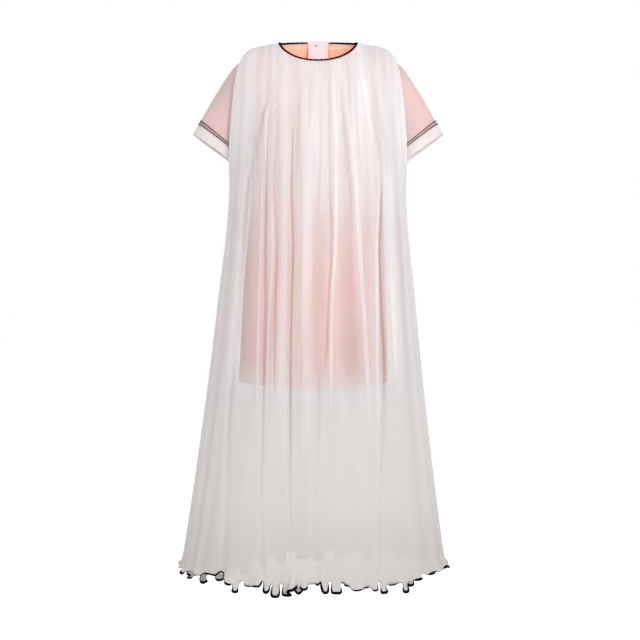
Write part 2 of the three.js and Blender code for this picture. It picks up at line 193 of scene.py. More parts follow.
OVERLAY_ROWS = (
    Row(0.104, 0.080, 0.064, 0.000, -0.063, 0.012),
    Row(0.113, 0.086, 0.070, -0.0015, -0.075, 0.001),
    Row(0.130, 0.099, 0.084, -0.005, -0.098, -0.022, dip=1.4),
    Row(0.160, 0.118, 0.102, -0.011, -0.136, -0.065, dip=1.6),
    Row(0.190, 0.137, 0.117, -0.026, -0.182, -0.118, dip=1.9),
    Row(0.204, 0.143, 0.121, -0.058, -0.212, -0.160, 0.048, dip=1.9),
    Row(0.217, 0.148, 0.124, -0.135, -0.256, -0.222, 0.070, dip=1.9),
    Row(0.225, 0.152, 0.127, -0.220, -0.298, -0.280, 0.072),
    Row(0.230, 0.155, 0.130, -0.300, -0.338, -0.330, 0.060),
    Row(0.231, 0.157, 0.132, -0.345, -0.364, -0.360, 0.036),
    Row(0.231, 0.159, 0.134, -0.372, -0.384, -0.382),
    Row(0.257, 0.181, 0.155, -0.670, -0.670, -0.670),
    Row(0.287, 0.204, 0.177, -0.940, -0.940, -0.940),
    Row(0.338, 0.242, 0.217, -1.320, -1.320, -1.320),
    Row(0.346, 0.248, 0.223, -1.364, -1.364, -1.364),
    Row(0.351, 0.251, 0.226, HEM_Z, HEM_Z, HEM_Z),
)

SLIP_ABOVE = (
    Row(0.1036, 0.0773, 0.0613, -0.0032, -0.0644, 0.0104),
    Row(0.1123, 0.0810, 0.0647, -0.0070, -0.0778, -0.0021),
    Row(0.129, 0.092, 0.077, -0.012, -0.101, -0.026, dip=1.4),
    Row(0.157, 0.106, 0.091, -0.021, -0.136, -0.067, dip=1.6),
)
SLIP_BELOW = (
    Row(0.173, 0.123, 0.109, -0.460, -0.460, -0.460),
    Row(0.181, 0.127, 0.115, -0.670, -0.670, -0.670),
    Row(0.190, 0.133, 0.121, -0.886, -0.886, -0.886),
)


@dataclass(frozen=True)
class Armhole:
    """The slip's armhole: its top and under points in the X-Z plane and half its depth."""

    top: tuple[float, float] = (0.180, -0.037)
    under: tuple[float, float] = (0.168, -0.249)
    half_depth: float = 0.058
    fronts: tuple[float, float] = (0.115, 0.128)
    backs: tuple[float, float] = (0.099, 0.112)
    front_zs: tuple[float, float] = (-0.168, -0.288)
    back_zs: tuple[float, float] = (-0.110, -0.288)
    steps: int = 6

    def rows(self) -> tuple[Row, ...]:
        """The slip's rows beside the armhole, from its top to its under point."""
        made = []
        for step in range(self.steps + 1):
            share = step / self.steps
            down = (1 - math.cos(math.pi * share)) / 2
            made.append(
                Row(
                    half=between(self.top[0], self.under[0], down),
                    front=between(*self.fronts, share),
                    back=between(*self.backs, share),
                    side_z=between(self.top[1], self.under[1], down),
                    front_z=between(*self.front_zs, share),
                    back_z=between(*self.back_zs, share),
                    slit=self.half_depth * math.sin(math.pi * share) if 0 < step < self.steps else 0.0,
                )
            )
        return tuple(made)


class PanelForm:
    """The plain surface of a front or back panel, before it is gathered or creased.

    Args:
        rows: the panel's levels from its neck edge to its hem.
        side: which of the two panels it is.
    """

    def __init__(self, rows: tuple[Row, ...], side: Side) -> None:
        """Reads the rows' sizes for the panel's own side."""
        self.side = side
        depths = [row.front if side is Side.FRONT else row.back for row in rows]
        centre_zs = [row.front_z if side is Side.FRONT else row.back_z for row in rows]
        centre = list(zip(depths, centre_zs))
        steps = [math.dist(start, end) for start, end in zip(centre, centre[1:])]
        self.knots = np.concatenate([[0.0], np.cumsum(steps)])
        self.length = float(self.knots[-1])
        self.tracks = {name: Track(self.knots, [getattr(row, name) for row in rows])
                       for name in ("half", "side_z", "slit", "dip")}
        self.tracks["depth"] = Track(self.knots, depths)
        self.tracks["centre_z"] = Track(self.knots, centre_zs)

    def points(self, across: Array, down: Array) -> Array:
        """Points of the surface.

        Args:
            across: places from -1 at the panel's left edge to 1 at its right edge.
            down: distances from the neck edge along the panel's centre.

        Returns:
            An array with a row of X, Y and Z for each place.
        """
        at = {name: track.at(down) for name, track in self.tracks.items()}
        edge_cos = (np.maximum(at["slit"], 0.0) / at["depth"]) ** (PLAN_POWER / 2)
        parted = math.pi / 2 - np.arccos(edge_cos)
        sideways = np.abs(across)
        angle = np.sign(across) * (sideways * math.pi / 2 - parted * sideways**PARTING_POWER)
        cosine = np.maximum(0.0, np.cos(angle))
        plan = 2 / PLAN_POWER
        reach = signed_power(np.sin(angle), plan) / np.sqrt(1 - edge_cos**2) ** plan
        edge_dip = edge_cos ** at["dip"]
        dip = (cosine ** at["dip"] - edge_dip) / (1 - edge_dip)
        z = between(at["side_z"], at["centre_z"], dip)
        x = at["half"] * reach + lean_at(z)
        y = self.side.value * at["depth"] * cosine**plan
        return np.stack([x, y, z], axis=1)

    def directions(self, across: Array, down: Array) -> tuple[Array, Array]:
        """Unit directions along the panel's width, and out of the garment, at each place."""
        step = 0.004
        along = self.points(np.minimum(across + step, 1.0), down)
        along = unit(along - self.points(np.maximum(across - step, -1.0), down))
        rising = self.points(across, np.maximum(down - step, 0.0))
        rising -= self.points(across, np.minimum(down + step, self.length))
        return along, unit(np.cross(along, rising) * -self.side.value)

    def arc(self, down: float) -> float:
        """Half the panel's width at a level, measured round the garment."""
        half, depth = (float(self.tracks[name].at(np.array([down]))[0]) for name in ("half", "depth"))
        return math.pi / 2 * math.sqrt((half**2 + depth**2) / 2)

    def keep_side(self, points: Array) -> None:
        """Holds the points of a panel on its own side of the seams."""
        points[:, 1] = self.side.value * np.maximum(points[:, 1] * self.side.value, SEAM_GAP)


def across_of(share: Array) -> Array:
    """The place across a panel whose distance from the middle is a share of the half width."""
    return np.sign(share) * np.arcsin(np.minimum(np.abs(share), 1.0) ** (PLAN_POWER / 2)) / (math.pi / 2)


@dataclass(frozen=True)
class Fold:
    """One fold that hangs down an overlay panel: a ridge, a slit, or a band of several layers.

    line gives heights and shares of the panel's half width, from its top to its end. width and
    end_width are half widths there. height is how far it stands out, and layers how much more cloth
    lies in it. sharp is the side, -1 or 1, on which it ends abruptly, or 0 where both sides are soft.
    """

    line: tuple[Pair, ...]
    width: float
    end_width: float
    height: float
    layers: float
    sharp: int = 0


FRONT_FOLDS = (
    Fold(((-0.09, -0.93), (-1.388, -0.90)), 0.020, 0.036, 0.0, 1.2, 1),
    Fold(
        ((-0.11, -0.62), (-0.19, -0.644), (-0.28, -0.70), (-0.39, -0.781), (-0.976, -0.755),
         (-1.10, -0.714), (-1.388, -0.64)),
        0.005, 0.007, -0.006, -1.3,
    ),
    Fold(((-0.07, -0.66), (-0.11, -0.669), (-0.28, -0.581), (-0.45, -0.53)), 0.006, 0.005, 0.001, 2.0),
    Fold(
        ((-0.34, -0.60), (-0.543, -0.569), (-0.706, -0.546), (-0.828, -0.521), (-0.98, -0.49)),
        0.0030, 0.0032, 0.001, 2.6, 1,
    ),
    Fold(
        ((-0.20, -0.60), (-0.392, -0.557), (-0.543, -0.528), (-0.706, -0.488), (-0.973, -0.449),
         (-1.119, -0.429), (-1.388, -0.355)),
        0.0022, 0.0055, -0.0045, -1.8,
    ),
    Fold(
        ((-0.42, -0.48), (-0.544, -0.445), (-0.706, -0.449), (-0.828, -0.439), (-1.05, -0.41)),
        0.0045, 0.004, 0.001, 1.8,
    ),
    Fold(
        ((-0.13, -0.50), (-0.281, -0.465), (-0.393, -0.48), (-0.544, -0.405), (-0.706, -0.392),
         (-1.00, -0.34)),
        0.0028, 0.003, -0.002, -1.1,
    ),
    Fold(
        ((-0.09, -0.42), (-0.282, -0.374), (-0.394, -0.35), (-0.544, -0.323), (-0.827, -0.285),
         (-1.2, -0.22)),
        0.010, 0.010, 0.0015, 1.4, 1,
    ),
    Fold(
        ((-0.20, -0.30), (-0.394, -0.285), (-0.544, -0.242), (-0.706, -0.239), (-0.827, -0.230),
         (-1.0, -0.21), (-1.25, -0.18)),
        0.0022, 0.0026, -0.005, -2.0,
    ),
    Fold(((-0.10, -0.21), (-0.191, -0.225), (-0.283, -0.237), (-0.40, -0.24)), 0.004, 0.004, -0.001, -1.3),
    Fold(
        ((-0.09, -0.19), (-0.283, -0.169), (-0.394, -0.135), (-0.545, -0.12), (-0.706, -0.115),
         (-0.827, -0.095), (-1.1, -0.09)),
        0.014, 0.013, 0.002, 1.3, -1,
    ),
    Fold(((-0.08, -0.08), (-0.191, -0.106), (-0.30, -0.10)), 0.004, 0.004, -0.001, -1.2),
    Fold(((-0.12, 0.024), (-0.283, 0.034), (-0.394, 0.015), (-0.52, 0.0)), 0.004, 0.005, -0.001, -1.0),
    Fold(((-0.42, -0.67), (-0.70, -0.66), (-0.92, -0.64)), 0.022, 0.036, 0.0, -0.4),
    Fold(((-0.42, 0.02), (-0.95, 0.02)), 0.016, 0.018, 0.0, -0.5),
    Fold(
        ((-0.08, 0.13), (-0.191, 0.13), (-0.283, 0.124), (-0.394, 0.133), (-0.545, 0.152),
         (-0.706, 0.112), (-0.90, 0.085)),
        0.0032, 0.004, -0.002, -1.1,
    ),
    Fold(
        ((-0.07, 0.19), (-0.191, 0.201), (-0.283, 0.215), (-0.394, 0.208), (-0.545, 0.193),
         (-0.706, 0.15), (-0.98, 0.14)),
        0.0045, 0.0038, 0.002, 2.8, 1,
    ),
    Fold(
        ((-0.10, 0.26), (-0.191, 0.284), (-0.282, 0.317), (-0.394, 0.348), (-0.52, 0.36)),
        0.0035, 0.0035, -0.001, -1.1,
    ),
    Fold(((-0.42, 0.29), (-0.95, 0.32)), 0.024, 0.030, 0.0, -0.6),
    Fold(
        ((-0.07, 0.32), (-0.115, 0.337), (-0.19, 0.355), (-0.282, 0.385), (-0.393, 0.424),
         (-0.706, 0.465), (-1.05, 0.48)),
        0.0055, 0.0055, 0.002, 1.8, 1,
    ),
    Fold(((-0.08, 0.44), (-0.19, 0.45), (-0.281, 0.454), (-0.42, 0.47)), 0.004, 0.004, -0.001, -1.1),
    Fold(
        ((-0.09, 0.55), (-0.19, 0.594), (-0.28, 0.66), (-0.39, 0.676), (-0.543, 0.62), (-0.706, 0.591),
         (-0.828, 0.565), (-1.0, 0.545)),
        0.005, 0.0045, 0.002, 2.4, 1,
    ),
    Fold(
        ((-0.08, 0.64), (-0.111, 0.655), (-0.185, 0.705), (-0.277, 0.77), (-0.42, 0.767)),
        0.004, 0.004, -0.001, -1.0,
    ),
    Fold(
        ((-0.36, 0.71), (-0.543, 0.644), (-0.706, 0.63), (-0.828, 0.63), (-0.96, 0.596), (-1.06, 0.562),
         (-1.388, 0.47)),
        0.0024, 0.005, -0.006, -1.9,
    ),
    Fold(((-0.34, 0.80), (-0.55, 0.79), (-0.85, 0.76)), 0.0026, 0.003, 0.001, 1.6),
    Fold(((-0.10, 0.74), (-0.30, 0.80), (-0.58, 0.75)), 0.016, 0.014, 0.001, 0.8),
    Fold(((-0.10, -0.76), (-0.30, -0.86), (-0.50, -0.87)), 0.018, 0.018, 0.001, 0.9),
    Fold(((-0.84, 0.03), (-0.972, 0.026), (-1.117, 0.014), (-1.388, 0.024)), 0.0035, 0.006, -0.006, -1.0),
    Fold(
        ((-0.84, -0.225), (-0.972, -0.211), (-1.166, -0.193), (-1.388, -0.17)),
        0.002, 0.003, -0.0025, -0.5,
    ),
    Fold(((-0.09, 0.93), (-1.388, 0.90)), 0.018, 0.034, 0.0, 1.0, -1),
)
BACK_FOLDS = (
    Fold(((-0.09, -0.93), (-1.388, -0.90)), 0.018, 0.034, 0.0, 1.2, 1),
    Fold(((-0.15, -0.72), (-0.60, -0.68), (-1.388, -0.62)), 0.006, 0.010, -0.008, -0.6),
    Fold(((-0.10, -0.66), (-0.50, -0.63), (-1.25, -0.56)), 0.005, 0.008, 0.002, 2.0, -1),
    Fold(((-0.12, -0.56), (-0.45, -0.52), (-0.80, -0.50)), 0.0035, 0.0035, -0.001, -1.1),
    Fold(((-0.10, -0.47), (-0.60, -0.45), (-1.10, -0.42)), 0.010, 0.010, 0.001, 1.3, 1),
    Fold(((-0.10, -0.36), (-0.70, -0.35), (-1.388, -0.33)), 0.0025, 0.006, -0.006, -1.6),
    Fold(((-0.14, -0.28), (-0.60, -0.26), (-1.20, -0.24)), 0.012, 0.012, 0.002, 1.4, -1),
    Fold(((-0.20, -0.17), (-0.50, -0.16), (-0.95, -0.15)), 0.003, 0.0035, -0.002, -1.2),
    Fold(((-0.42, -0.08), (-0.90, -0.07), (-1.388, -0.05)), 0.004, 0.008, -0.006, -0.8),
    Fold(((-0.09, 0.02), (-0.50, 0.035), (-0.98, 0.03)), 0.006, 0.005, 0.002, 2.4, 1),
    Fold(((-0.10, 0.14), (-0.35, 0.13), (-0.60, 0.13)), 0.004, 0.004, -0.001, -1.1),
    Fold(((-0.12, 0.27), (-0.70, 0.255), (-1.388, 0.24)), 0.0028, 0.007, -0.006, -1.6),
    Fold(((-0.10, 0.37), (-0.60, 0.36), (-1.30, 0.35)), 0.010, 0.010, 0.002, 1.6, -1),
    Fold(((-0.18, 0.50), (-0.55, 0.47), (-1.00, 0.46)), 0.0032, 0.004, -0.003, -1.2),
    Fold(((-0.15, 0.62), (-0.60, 0.58), (-1.388, 0.52)), 0.006, 0.010, -0.009, -0.6),
    Fold(((-0.10, 0.72), (-0.60, 0.69), (-1.25, 0.64)), 0.006, 0.009, 0.002, 2.0, 1),
    Fold(((-0.20, 0.82), (-0.60, 0.80), (-1.00, 0.78)), 0.003, 0.004, -0.002, -1.0),
    Fold(((-0.09, 0.93), (-1.388, 0.90)), 0.018, 0.034, 0.0, 1.2, -1),
)


@dataclass(frozen=True)
class Lobe:
    """One lobe, notch or turned part of the rippled hem.

    at is its place as a share of the half width and width its half width. drop is how far it hangs
    below the hem's line, out how far it swings out or in, and curl how far it spreads over its neck.
    lip is how thick the thread lies on it, from 0 to 1, and tuck how far its edge is turned under.
    """

    at: float
    width: float
    drop: float
    out: float
    curl: float = 0.0
    lip: float = 0.0
    tuck: float = 0.0


FRONT_LOBES = tuple(
    Lobe(*row)
    for row in (
        (-0.975, 0.010, 0.004, 0.006, 0.002), (-0.931, 0.011, 0.010, 0.009, 0.003, 1.0),
        (-0.880, 0.010, -0.002, -0.010, 0, 0, 0.008), (-0.703, 0.040, -0.0136, 0.010, 0, 0.6),
        (-0.648, 0.008, -0.004, -0.006, 0, 0, 0.008), (-0.589, 0.0085, 0.005, 0.006, 0.002, 0.8),
        (-0.540, 0.0065, 0.0187, 0.004, 0.003, 1.0), (-0.502, 0.0060, -0.002, -0.006, 0, 0, 0.008),
        (-0.460, 0.013, 0.0014, -0.004, 0, 0.4), (-0.381, 0.009, -0.002, 0.012, 0.004, 0.7),
        (-0.352, 0.005, -0.008, -0.006, 0, 0, 0.006), (-0.323, 0.0065, 0.011, 0.007, 0.002, 1.0),
        (-0.293, 0.005, -0.002, -0.008, 0, 0, 0.012), (-0.263, 0.0080, 0.020, 0.006, 0.005, 1.0),
        (-0.228, 0.005, -0.004, -0.010, 0, 0, 0.012), (-0.190, 0.0085, 0.017, -0.014, 0.004, 1.0),
        (-0.147, 0.0070, 0.002, 0.011, 0.004, 1.0), (-0.124, 0.004, -0.004, -0.008, 0, 0, 0.008),
        (-0.103, 0.0070, 0.012, -0.012, 0.004, 0.9), (-0.081, 0.004, -0.004, -0.006, 0, 0, 0.006),
        (-0.060, 0.0060, 0.0032, 0.008, 0.003, 0.8), (-0.007, 0.011, -0.0125, -0.006),
        (0.035, 0.006, -0.002, 0.004, 0, 0.7), (0.056, 0.004, -0.012, -0.008, 0, 0, 0.008),
        (0.081, 0.0068, 0.008, 0.007, 0.004, 1.0), (0.116, 0.005, -0.014, -0.008, 0, 0, 0.008),
        (0.161, 0.0095, 0.009, 0.009, 0.005, 1.0), (0.203, 0.005, -0.011, -0.006),
        (0.232, 0.008, -0.007, -0.005, 0, 0.6), (0.308, 0.014, 0.006, 0.006, 0, 0.5),
        (0.374, 0.008, 0.0015, -0.005, 0, 0.5), (0.432, 0.009, 0.0105, 0.005, 0, 0.6),
        (0.461, 0.004, -0.006, -0.008, 0, 0, 0.006), (0.490, 0.0065, 0.018, 0.007, 0.004, 1.0),
        (0.568, 0.014, 0.004, -0.010, 0, 0.5), (0.643, 0.0075, 0.025, 0.007, 0.004, 1.0),
        (0.692, 0.007, 0.0126, -0.004, 0.003, 1.0), (0.736, 0.013, 0.0014, 0.008, 0.002, 1.0),
        (0.790, 0.009, -0.003, -0.009, 0, 0, 0.005), (0.836, 0.014, -0.0038, 0.009, 0.002, 1.0),
        (0.885, 0.009, -0.002, -0.010, 0, 0.6), (0.935, 0.010, -0.0067, 0.010, 0.003, 1.0),
        (0.978, 0.008, 0.004, 0.004, 0, 0.9),
    )
)
BACK_LOBES = tuple(
    Lobe(*row)
    for row in (
        (-0.850, 0.160, 0.060, 0.0), (-0.968, 0.009, 0.006, -0.008, 0.003, 0.8),
        (-0.935, 0.009, 0.011, 0.010, 0.003, 0.8), (-0.903, 0.005, -0.004, -0.006, 0, 0, 0.008),
        (-0.868, 0.018, 0.016, -0.010, 0.004, 1.0), (-0.808, 0.008, -0.002, 0.008, 0, 0, 0.008),
        (-0.750, 0.016, 0.012, -0.009, 0.003, 0.9), (-0.650, 0.010, -0.004, 0.008, 0, 0, 0.006),
        (-0.560, 0.010, 0.016, -0.008, 0.004, 1.0), (-0.480, 0.014, -0.004, 0.006, 0, 0.3),
        (-0.410, 0.009, 0.019, -0.007, 0.004, 1.0), (-0.340, 0.012, 0.000, 0.009, 0.002, 0.4),
        (-0.260, 0.010, 0.020, -0.008, 0.004, 1.0), (-0.180, 0.015, -0.006, 0.006, 0, 0.3),
        (-0.100, 0.009, 0.017, 0.008, 0.004, 1.0), (-0.030, 0.011, 0.004, -0.008, 0.002, 0.5),
        (0.050, 0.012, 0.019, 0.007, 0.005, 1.0), (0.130, 0.012, -0.008, -0.006, 0, 0, 0.006),
        (0.200, 0.009, 0.016, 0.008, 0.003, 1.0), (0.270, 0.010, 0.004, -0.009, 0.003, 0.6),
        (0.350, 0.015, -0.006, 0.006, 0, 0.3), (0.430, 0.010, 0.018, -0.008, 0.004, 1.0),
        (0.500, 0.009, 0.002, 0.009, 0, 0, 0.006), (0.580, 0.013, -0.004, -0.006, 0, 0.3),
        (0.650, 0.010, 0.019, 0.008, 0.004, 1.0), (0.730, 0.011, 0.002, -0.008, 0.002, 0.6),
        (0.800, 0.010, 0.013, 0.008, 0.004, 1.0), (0.870, 0.011, 0.004, -0.009, 0.003, 0.6),
        (0.935, 0.010, 0.004, 0.008, 0.003, 0.6),
    )
)


@dataclass
class OverlayPanel:
    """The front or back of the sheer overlay, gathered at the neck and rippled at the hem.

    Its layers are how many of the net lie over each other by distance below the shoulders, in the
    gathers at the neck and in the full folds at the hem.
    """

    side: Side
    folds: tuple[Fold, ...]
    lobes: tuple[Lobe, ...]
    start: float = 0.0
    columns: int = 560
    rows: int = 80
    row_shares: tuple[float, ...] = (0.0, 0.06, 0.15, 0.61, 0.74, 1.0)
    rows_below_neck: Pair = (0.012, 0.06)
    rows_above_hem: Pair = (0.15, 0.065)
    thickness: float = 0.0005
    fall_depths: tuple[float, ...] = (0.0, 0.20, 0.372, 0.67, 0.94, 1.32, 1.388)
    fall_widths: tuple[float, ...] = (0.205, 0.213, 0.231, 0.257, 0.287, 0.338, 0.351)
    gathers: int = 44
    gather_height: float = 0.0008
    gather_reach: float = 0.026
    gather_wander: tuple[Wave, ...] = (Wave(0.9, 3.1, 1.0), Wave(0.6, 7.3))
    ripples: int = 13
    ripple_height: float = 0.0016
    ripple_below: Pair = (0.03, 0.5)
    ripple_growth: Pair = (0.35, 1.3)
    ripple_drift: float = 2.5
    ripple_wander: tuple[Wave, Wave] = (Wave(1.1, 2.1), Wave(0.7, 5.3, 1.2))
    ripple_share: float = 0.8
    ripple_uneven: tuple[Wave, Wave] = (Wave(0.35, 2.3, 0.9), Wave(0.30, 4.7, 2.4))
    fold_fade: float = 0.12
    fold_opened: float = 0.25
    fold_narrowed: float = 0.4
    sharp_side: float = 2.2
    soft_side: float = 0.75
    low_calm: float = 0.55
    calm_below: Pair = (0.92, 0.22)
    slit_calm: float = 0.75
    slit_calm_below: Pair = (0.85, 0.08)
    lobe_reach: float = 0.022
    lobe_fade: float = 1.4
    lobe_power: float = 3.2
    wide_lobe: float = 0.1
    wide_lobe_reach: float = 0.12
    curl_reach: float = 0.008
    curl_spread: float = 2.6
    curl_width: float = 0.8
    neck_pinch: float = 1.1
    neck_at: float = 1.15
    neck_width: float = 0.35
    tucked_in: float = 0.7
    lip_width: float = 0.78
    edge_wave: float = 0.0010
    edge_waves: float = 420.0
    edge_wander: Wave = Wave(2.0, 61.0)
    hem_lift: float = 0.009
    side_lift: float = 0.022
    layer_depths: tuple[float, ...] = (0.0, 0.10, 0.22, 0.36, 0.52, 0.66, 0.82, 0.87, 0.92, 1.00, 1.15, 1.40)
    layer_counts: tuple[float, ...] = (5.6, 4.5, 4.1, 3.7, 2.5, 1.85, 1.85, 2.6, 3.7, 5.0, 6.4, 8.5)
    single_layer: float = 0.30
    least_layers: float = 0.5
    most_cover: float = 0.98
    fold_gain: float = 0.35
    fold_gain_below: Pair = (0.3, 0.3)
    rim_gain: float = 0.9
    rim_from: Pair = (0.86, 0.14)
    rim_below: Pair = (0.10, 0.25)
    form: PanelForm = field(init=False)
    hem_arc: float = field(init=False)

    def __post_init__(self) -> None:
        """Makes the plain form, the widths that the folds hang at and the layers of cloth by height."""
        self.form = PanelForm(OVERLAY_ROWS, self.side)
        self.hem_arc = self.form.arc(self.form.length)
        self.fall_width = Track(np.array(self.fall_depths), self.fall_widths)
        self.layers = Track(np.array(self.layer_depths), self.layer_counts)

    def name(self) -> str:
        """The node that the panel stands for."""
        return f"overlay_{self.side.name.lower()}"

    def build(self) -> Piece:
        """Makes the panel from a grid, with its own UV map and cover attribute."""
        bm, across, share = flat_grid(self.columns, self.rows)
        down = self.spread_rows((1.0 - share) / 2)
        fall, z = self.fall_lines(across, down)
        move_to(bm, self.shape(across, down))
        lay_cloth(bm, across_of(fall) * self.hem_arc, -down)
        lay_cover(bm, self.cover(fall, z))
        piece = finish_mesh(bm, f"{self.name()}_tulle", facing=self.side)
        thicken(piece, self.thickness)
        return piece

    def spread_rows(self, share: Array) -> Array:
        """Distances down the panel for its rows, closest at the neck and the hem."""
        length = self.form.length
        above_hem = [length - up for up in self.rows_above_hem]
        return Track(np.array(self.row_shares), [0.0, *self.rows_below_neck, *above_hem, length]).at(share)

    def fall_lines(self, across: Array, down: Array) -> tuple[Array, Array]:
        """The line that the cloth hangs along at each place, and the height there.

        Args:
            across: places across the panel.
            down: distances down the panel.

        Returns:
            The lines as shares of the half width, and heights.
        """
        plain = self.form.points(across, down)
        z = plain[:, 2]
        fall = (plain[:, 0] - lean_at(z)) / self.fall_width.at(-z)
        return np.clip(fall, -1.0, 1.0), z

    def fold_size(self, fall: Array, z: Array) -> tuple[Array, Array]:
        """How far the folds stand out at each place, and how many layers of cloth they add.

        Args:
            fall: the lines that the cloth hangs along.
            z: heights.

        Returns:
            The heights of the folds and the layers.
        """
        half = self.fall_width.at(-z)
        low = 1 - self.low_calm * rise(-z, self.calm_below)
        slit_low = 1 - self.slit_calm * rise(-z, self.slit_calm_below)
        narrowed = between(1 - self.fold_narrowed, 1.0, low)
        out, layers = np.zeros_like(z), np.zeros_like(z)
        for fold in self.folds:
            levels, lines = zip(*fold.line)
            top, end = levels[0], levels[-1]
            places = np.interp(-z, [-level for level in levels], lines)
            share = np.clip((top - z) / (top - end), 0.0, 1.0)
            s = (fall - places) * half / between(fold.width, fold.end_width, share) * narrowed
            opened = smooth((top - z) / self.fold_fade + self.fold_opened)
            closed = 1.0 if end <= HEM_Z else smooth((z - end) / self.fold_fade)
            if fold.sharp:
                s = s * np.where(s * fold.sharp > 0, self.sharp_side, self.soft_side)
            out += fold.height * opened * closed * np.exp(-(s**2))
            kept = slit_low if fold.layers < 0 else 1.0
            layers += fold.layers * kept * opened * closed * np.exp(-(s**4))
        return out * low, layers * low

    def gather(self, across: Array, down: Array) -> Array:
        """Heights of the fine gathers under the neck edge."""
        turn = math.pi * (across + 1) + self.start
        wander = sum(wave.at(turn) for wave in self.gather_wander)
        size = self.gather_height * np.exp(-((down / self.gather_reach) ** 2))
        return size * np.sin(self.gathers * turn + wander)

    def ripple(self, fall: Array, down: Array) -> Array:
        """Heights of the broad waves, which deepen towards the hem."""
        turn = math.pi * (across_of(fall) + 1) + self.start
        drifting, steady = self.ripple_wander
        phase = self.ripples * turn + drifting.at(turn, self.ripple_drift * down) + steady.at(turn)
        uneven = self.ripple_share + sum(wave.at(turn) for wave in self.ripple_uneven)
        size = self.ripple_height * rise(down, self.ripple_below)
        return size * between(*self.ripple_growth, down / self.form.length) * uneven * np.sin(phase)

    def near_hem(self, to_hem: Array, reach: float) -> Array:
        """A share that fades from 1 at the hem over a reach."""
        return np.exp(-((to_hem / reach) ** self.lobe_fade))

    def shape(self, across: Array, down: Array) -> Array:
        """Lays gathers, folds and the rippled hem on the plain form.

        Args:
            across: places across the panel.
            down: distances down the panel.

        Returns:
            The panel's points.
        """
        plain = self.form.points(across, down)
        along, out = self.form.directions(across, down)
        fall, z = self.fall_lines(across, down)
        calm = 1 - np.abs(across) ** RIM_POWER
        folds, _ = self.fold_size(fall, z)
        to_hem = self.form.length - down
        lobe_along, lobe_out, lobe_up = self.lobe_shift(fall, to_hem)
        lift = (self.hem_lift + self.side_lift * np.abs(fall) ** 2) * self.near_hem(to_hem, self.lobe_reach)
        moved_out = (self.gather(across, down) + self.ripple(fall, down) + folds + lobe_out) * calm
        points = plain + along * (lobe_along * calm)[:, None] + out * moved_out[:, None]
        points[:, 2] += lobe_up * calm + lift
        self.form.keep_side(points)
        return points

    def lobe_shift(self, fall: Array, to_hem: Array) -> tuple[Array, Array, Array]:
        """The lettuce edge: lobes that drop below the hem's line, swing out or in and curl over.

        Args:
            fall: the lines that the cloth hangs along.
            to_hem: distances up from the hem.

        Returns:
            The moves along the panel, outwards and upwards.
        """
        near, wide = (self.near_hem(to_hem, reach) for reach in (self.lobe_reach, self.wide_lobe_reach))
        edge = np.exp(-((to_hem / self.curl_reach) ** 2))
        arc = across_of(fall) * self.hem_arc
        along, out, up = np.zeros_like(fall), np.zeros_like(fall), np.zeros_like(fall)
        for lobe in self.lobes:
            s = self.from_lobe(lobe, arc)
            bell = np.exp(-(np.abs(s) ** self.lobe_power))
            up -= lobe.drop * bell * (near if lobe.width < self.wide_lobe else wide)
            up += lobe.tuck * bell * edge
            out += (lobe.out * (near + edge) / 2 - lobe.tuck * self.tucked_in * edge) * bell
            neck = np.sign(s) * np.exp(-(((np.abs(s) - self.neck_at) / self.neck_width) ** 2))
            spread = self.curl_spread * s * np.exp(-((s / self.curl_width) ** 2))
            along += lobe.curl * (spread * edge - self.neck_pinch * neck * near)
        fine = self.edge_wave * np.sin(arc * self.edge_waves + self.edge_wander.at(arc)) * near
        return along, out + fine, up

    def from_lobe(self, lobe: Lobe, arc: Array) -> Array:
        """Distances from a lobe's middle, in its half widths."""
        return (arc - float(across_of(lobe.at)) * self.hem_arc) / lobe.width

    def lips(self, across: Array) -> Array:
        """How thick the thread lies along the hem, from 0 to 1."""
        down = np.full_like(across, self.form.length)
        arc = across_of(self.fall_lines(across, down)[0]) * self.hem_arc
        bells = (np.exp(-((self.from_lobe(lobe, arc) / self.lip_width) ** 4)) for lobe in self.lobes)
        return np.clip(sum(lobe.lip * bell for lobe, bell in zip(self.lobes, bells)), 0.0, 1.0)

    def cover(self, fall: Array, z: Array) -> Array:
        """How much the cloth hides at each place, by the layers that lie there."""
        _, added = self.fold_size(fall, z)
        rim = 1 + self.rim_gain * rise(np.abs(fall), self.rim_from) * rise(-z, self.rim_below)
        added *= 1 + self.fold_gain * rise(-z, self.fold_gain_below)
        layers = np.maximum(self.layers.at(-z) + added, self.least_layers) * rim
        return np.clip(1 - (1 - self.single_layer) ** layers, 0.0, self.most_cover)


def flat_grid(columns: int, rows: int) -> tuple[Mesh, Array, Array]:
    """A flat grid, with its vertices' places from -1 to 1 both ways.

    Args:
        columns: steps across it.
        rows: steps along it.

    Returns:
        The mesh, and its vertices' places across and along.
    """
    bm = bmesh.new()
    bmesh.ops.create_grid(bm, x_segments=columns, y_segments=rows, size=1.0)
    bm.verts.index_update()
    flat = np.array([vert.co for vert in bm.verts])
    return bm, flat[:, 0], flat[:, 1]


def move_to(bm: Mesh, points: Array) -> None:
    """Moves a mesh's vertices to points."""
    for vert, place in zip(bm.verts, points):
        vert.co = place


def lay_cloth(bm: Mesh, across: Array, along: Array) -> None:
    """Writes the cloth's own coordinates in metres, across it and along it, as its UV map."""
    layer = bm.loops.layers.uv.new(CLOTH_UV)
    for face in bm.faces:
        for loop in face.loops:
            index = loop.vert.index
            loop[layer].uv = (across[index], along[index])


def lay_cover(bm: Mesh, cover: Array) -> None:
    """Writes how much each of a sheer cloth's two faces hides, from what both hide together."""
    layer = bm.verts.layers.float.new(COVER)
    for vert, value in zip(bm.verts, 1 - np.sqrt(1 - cover)):
        vert[layer] = float(value)


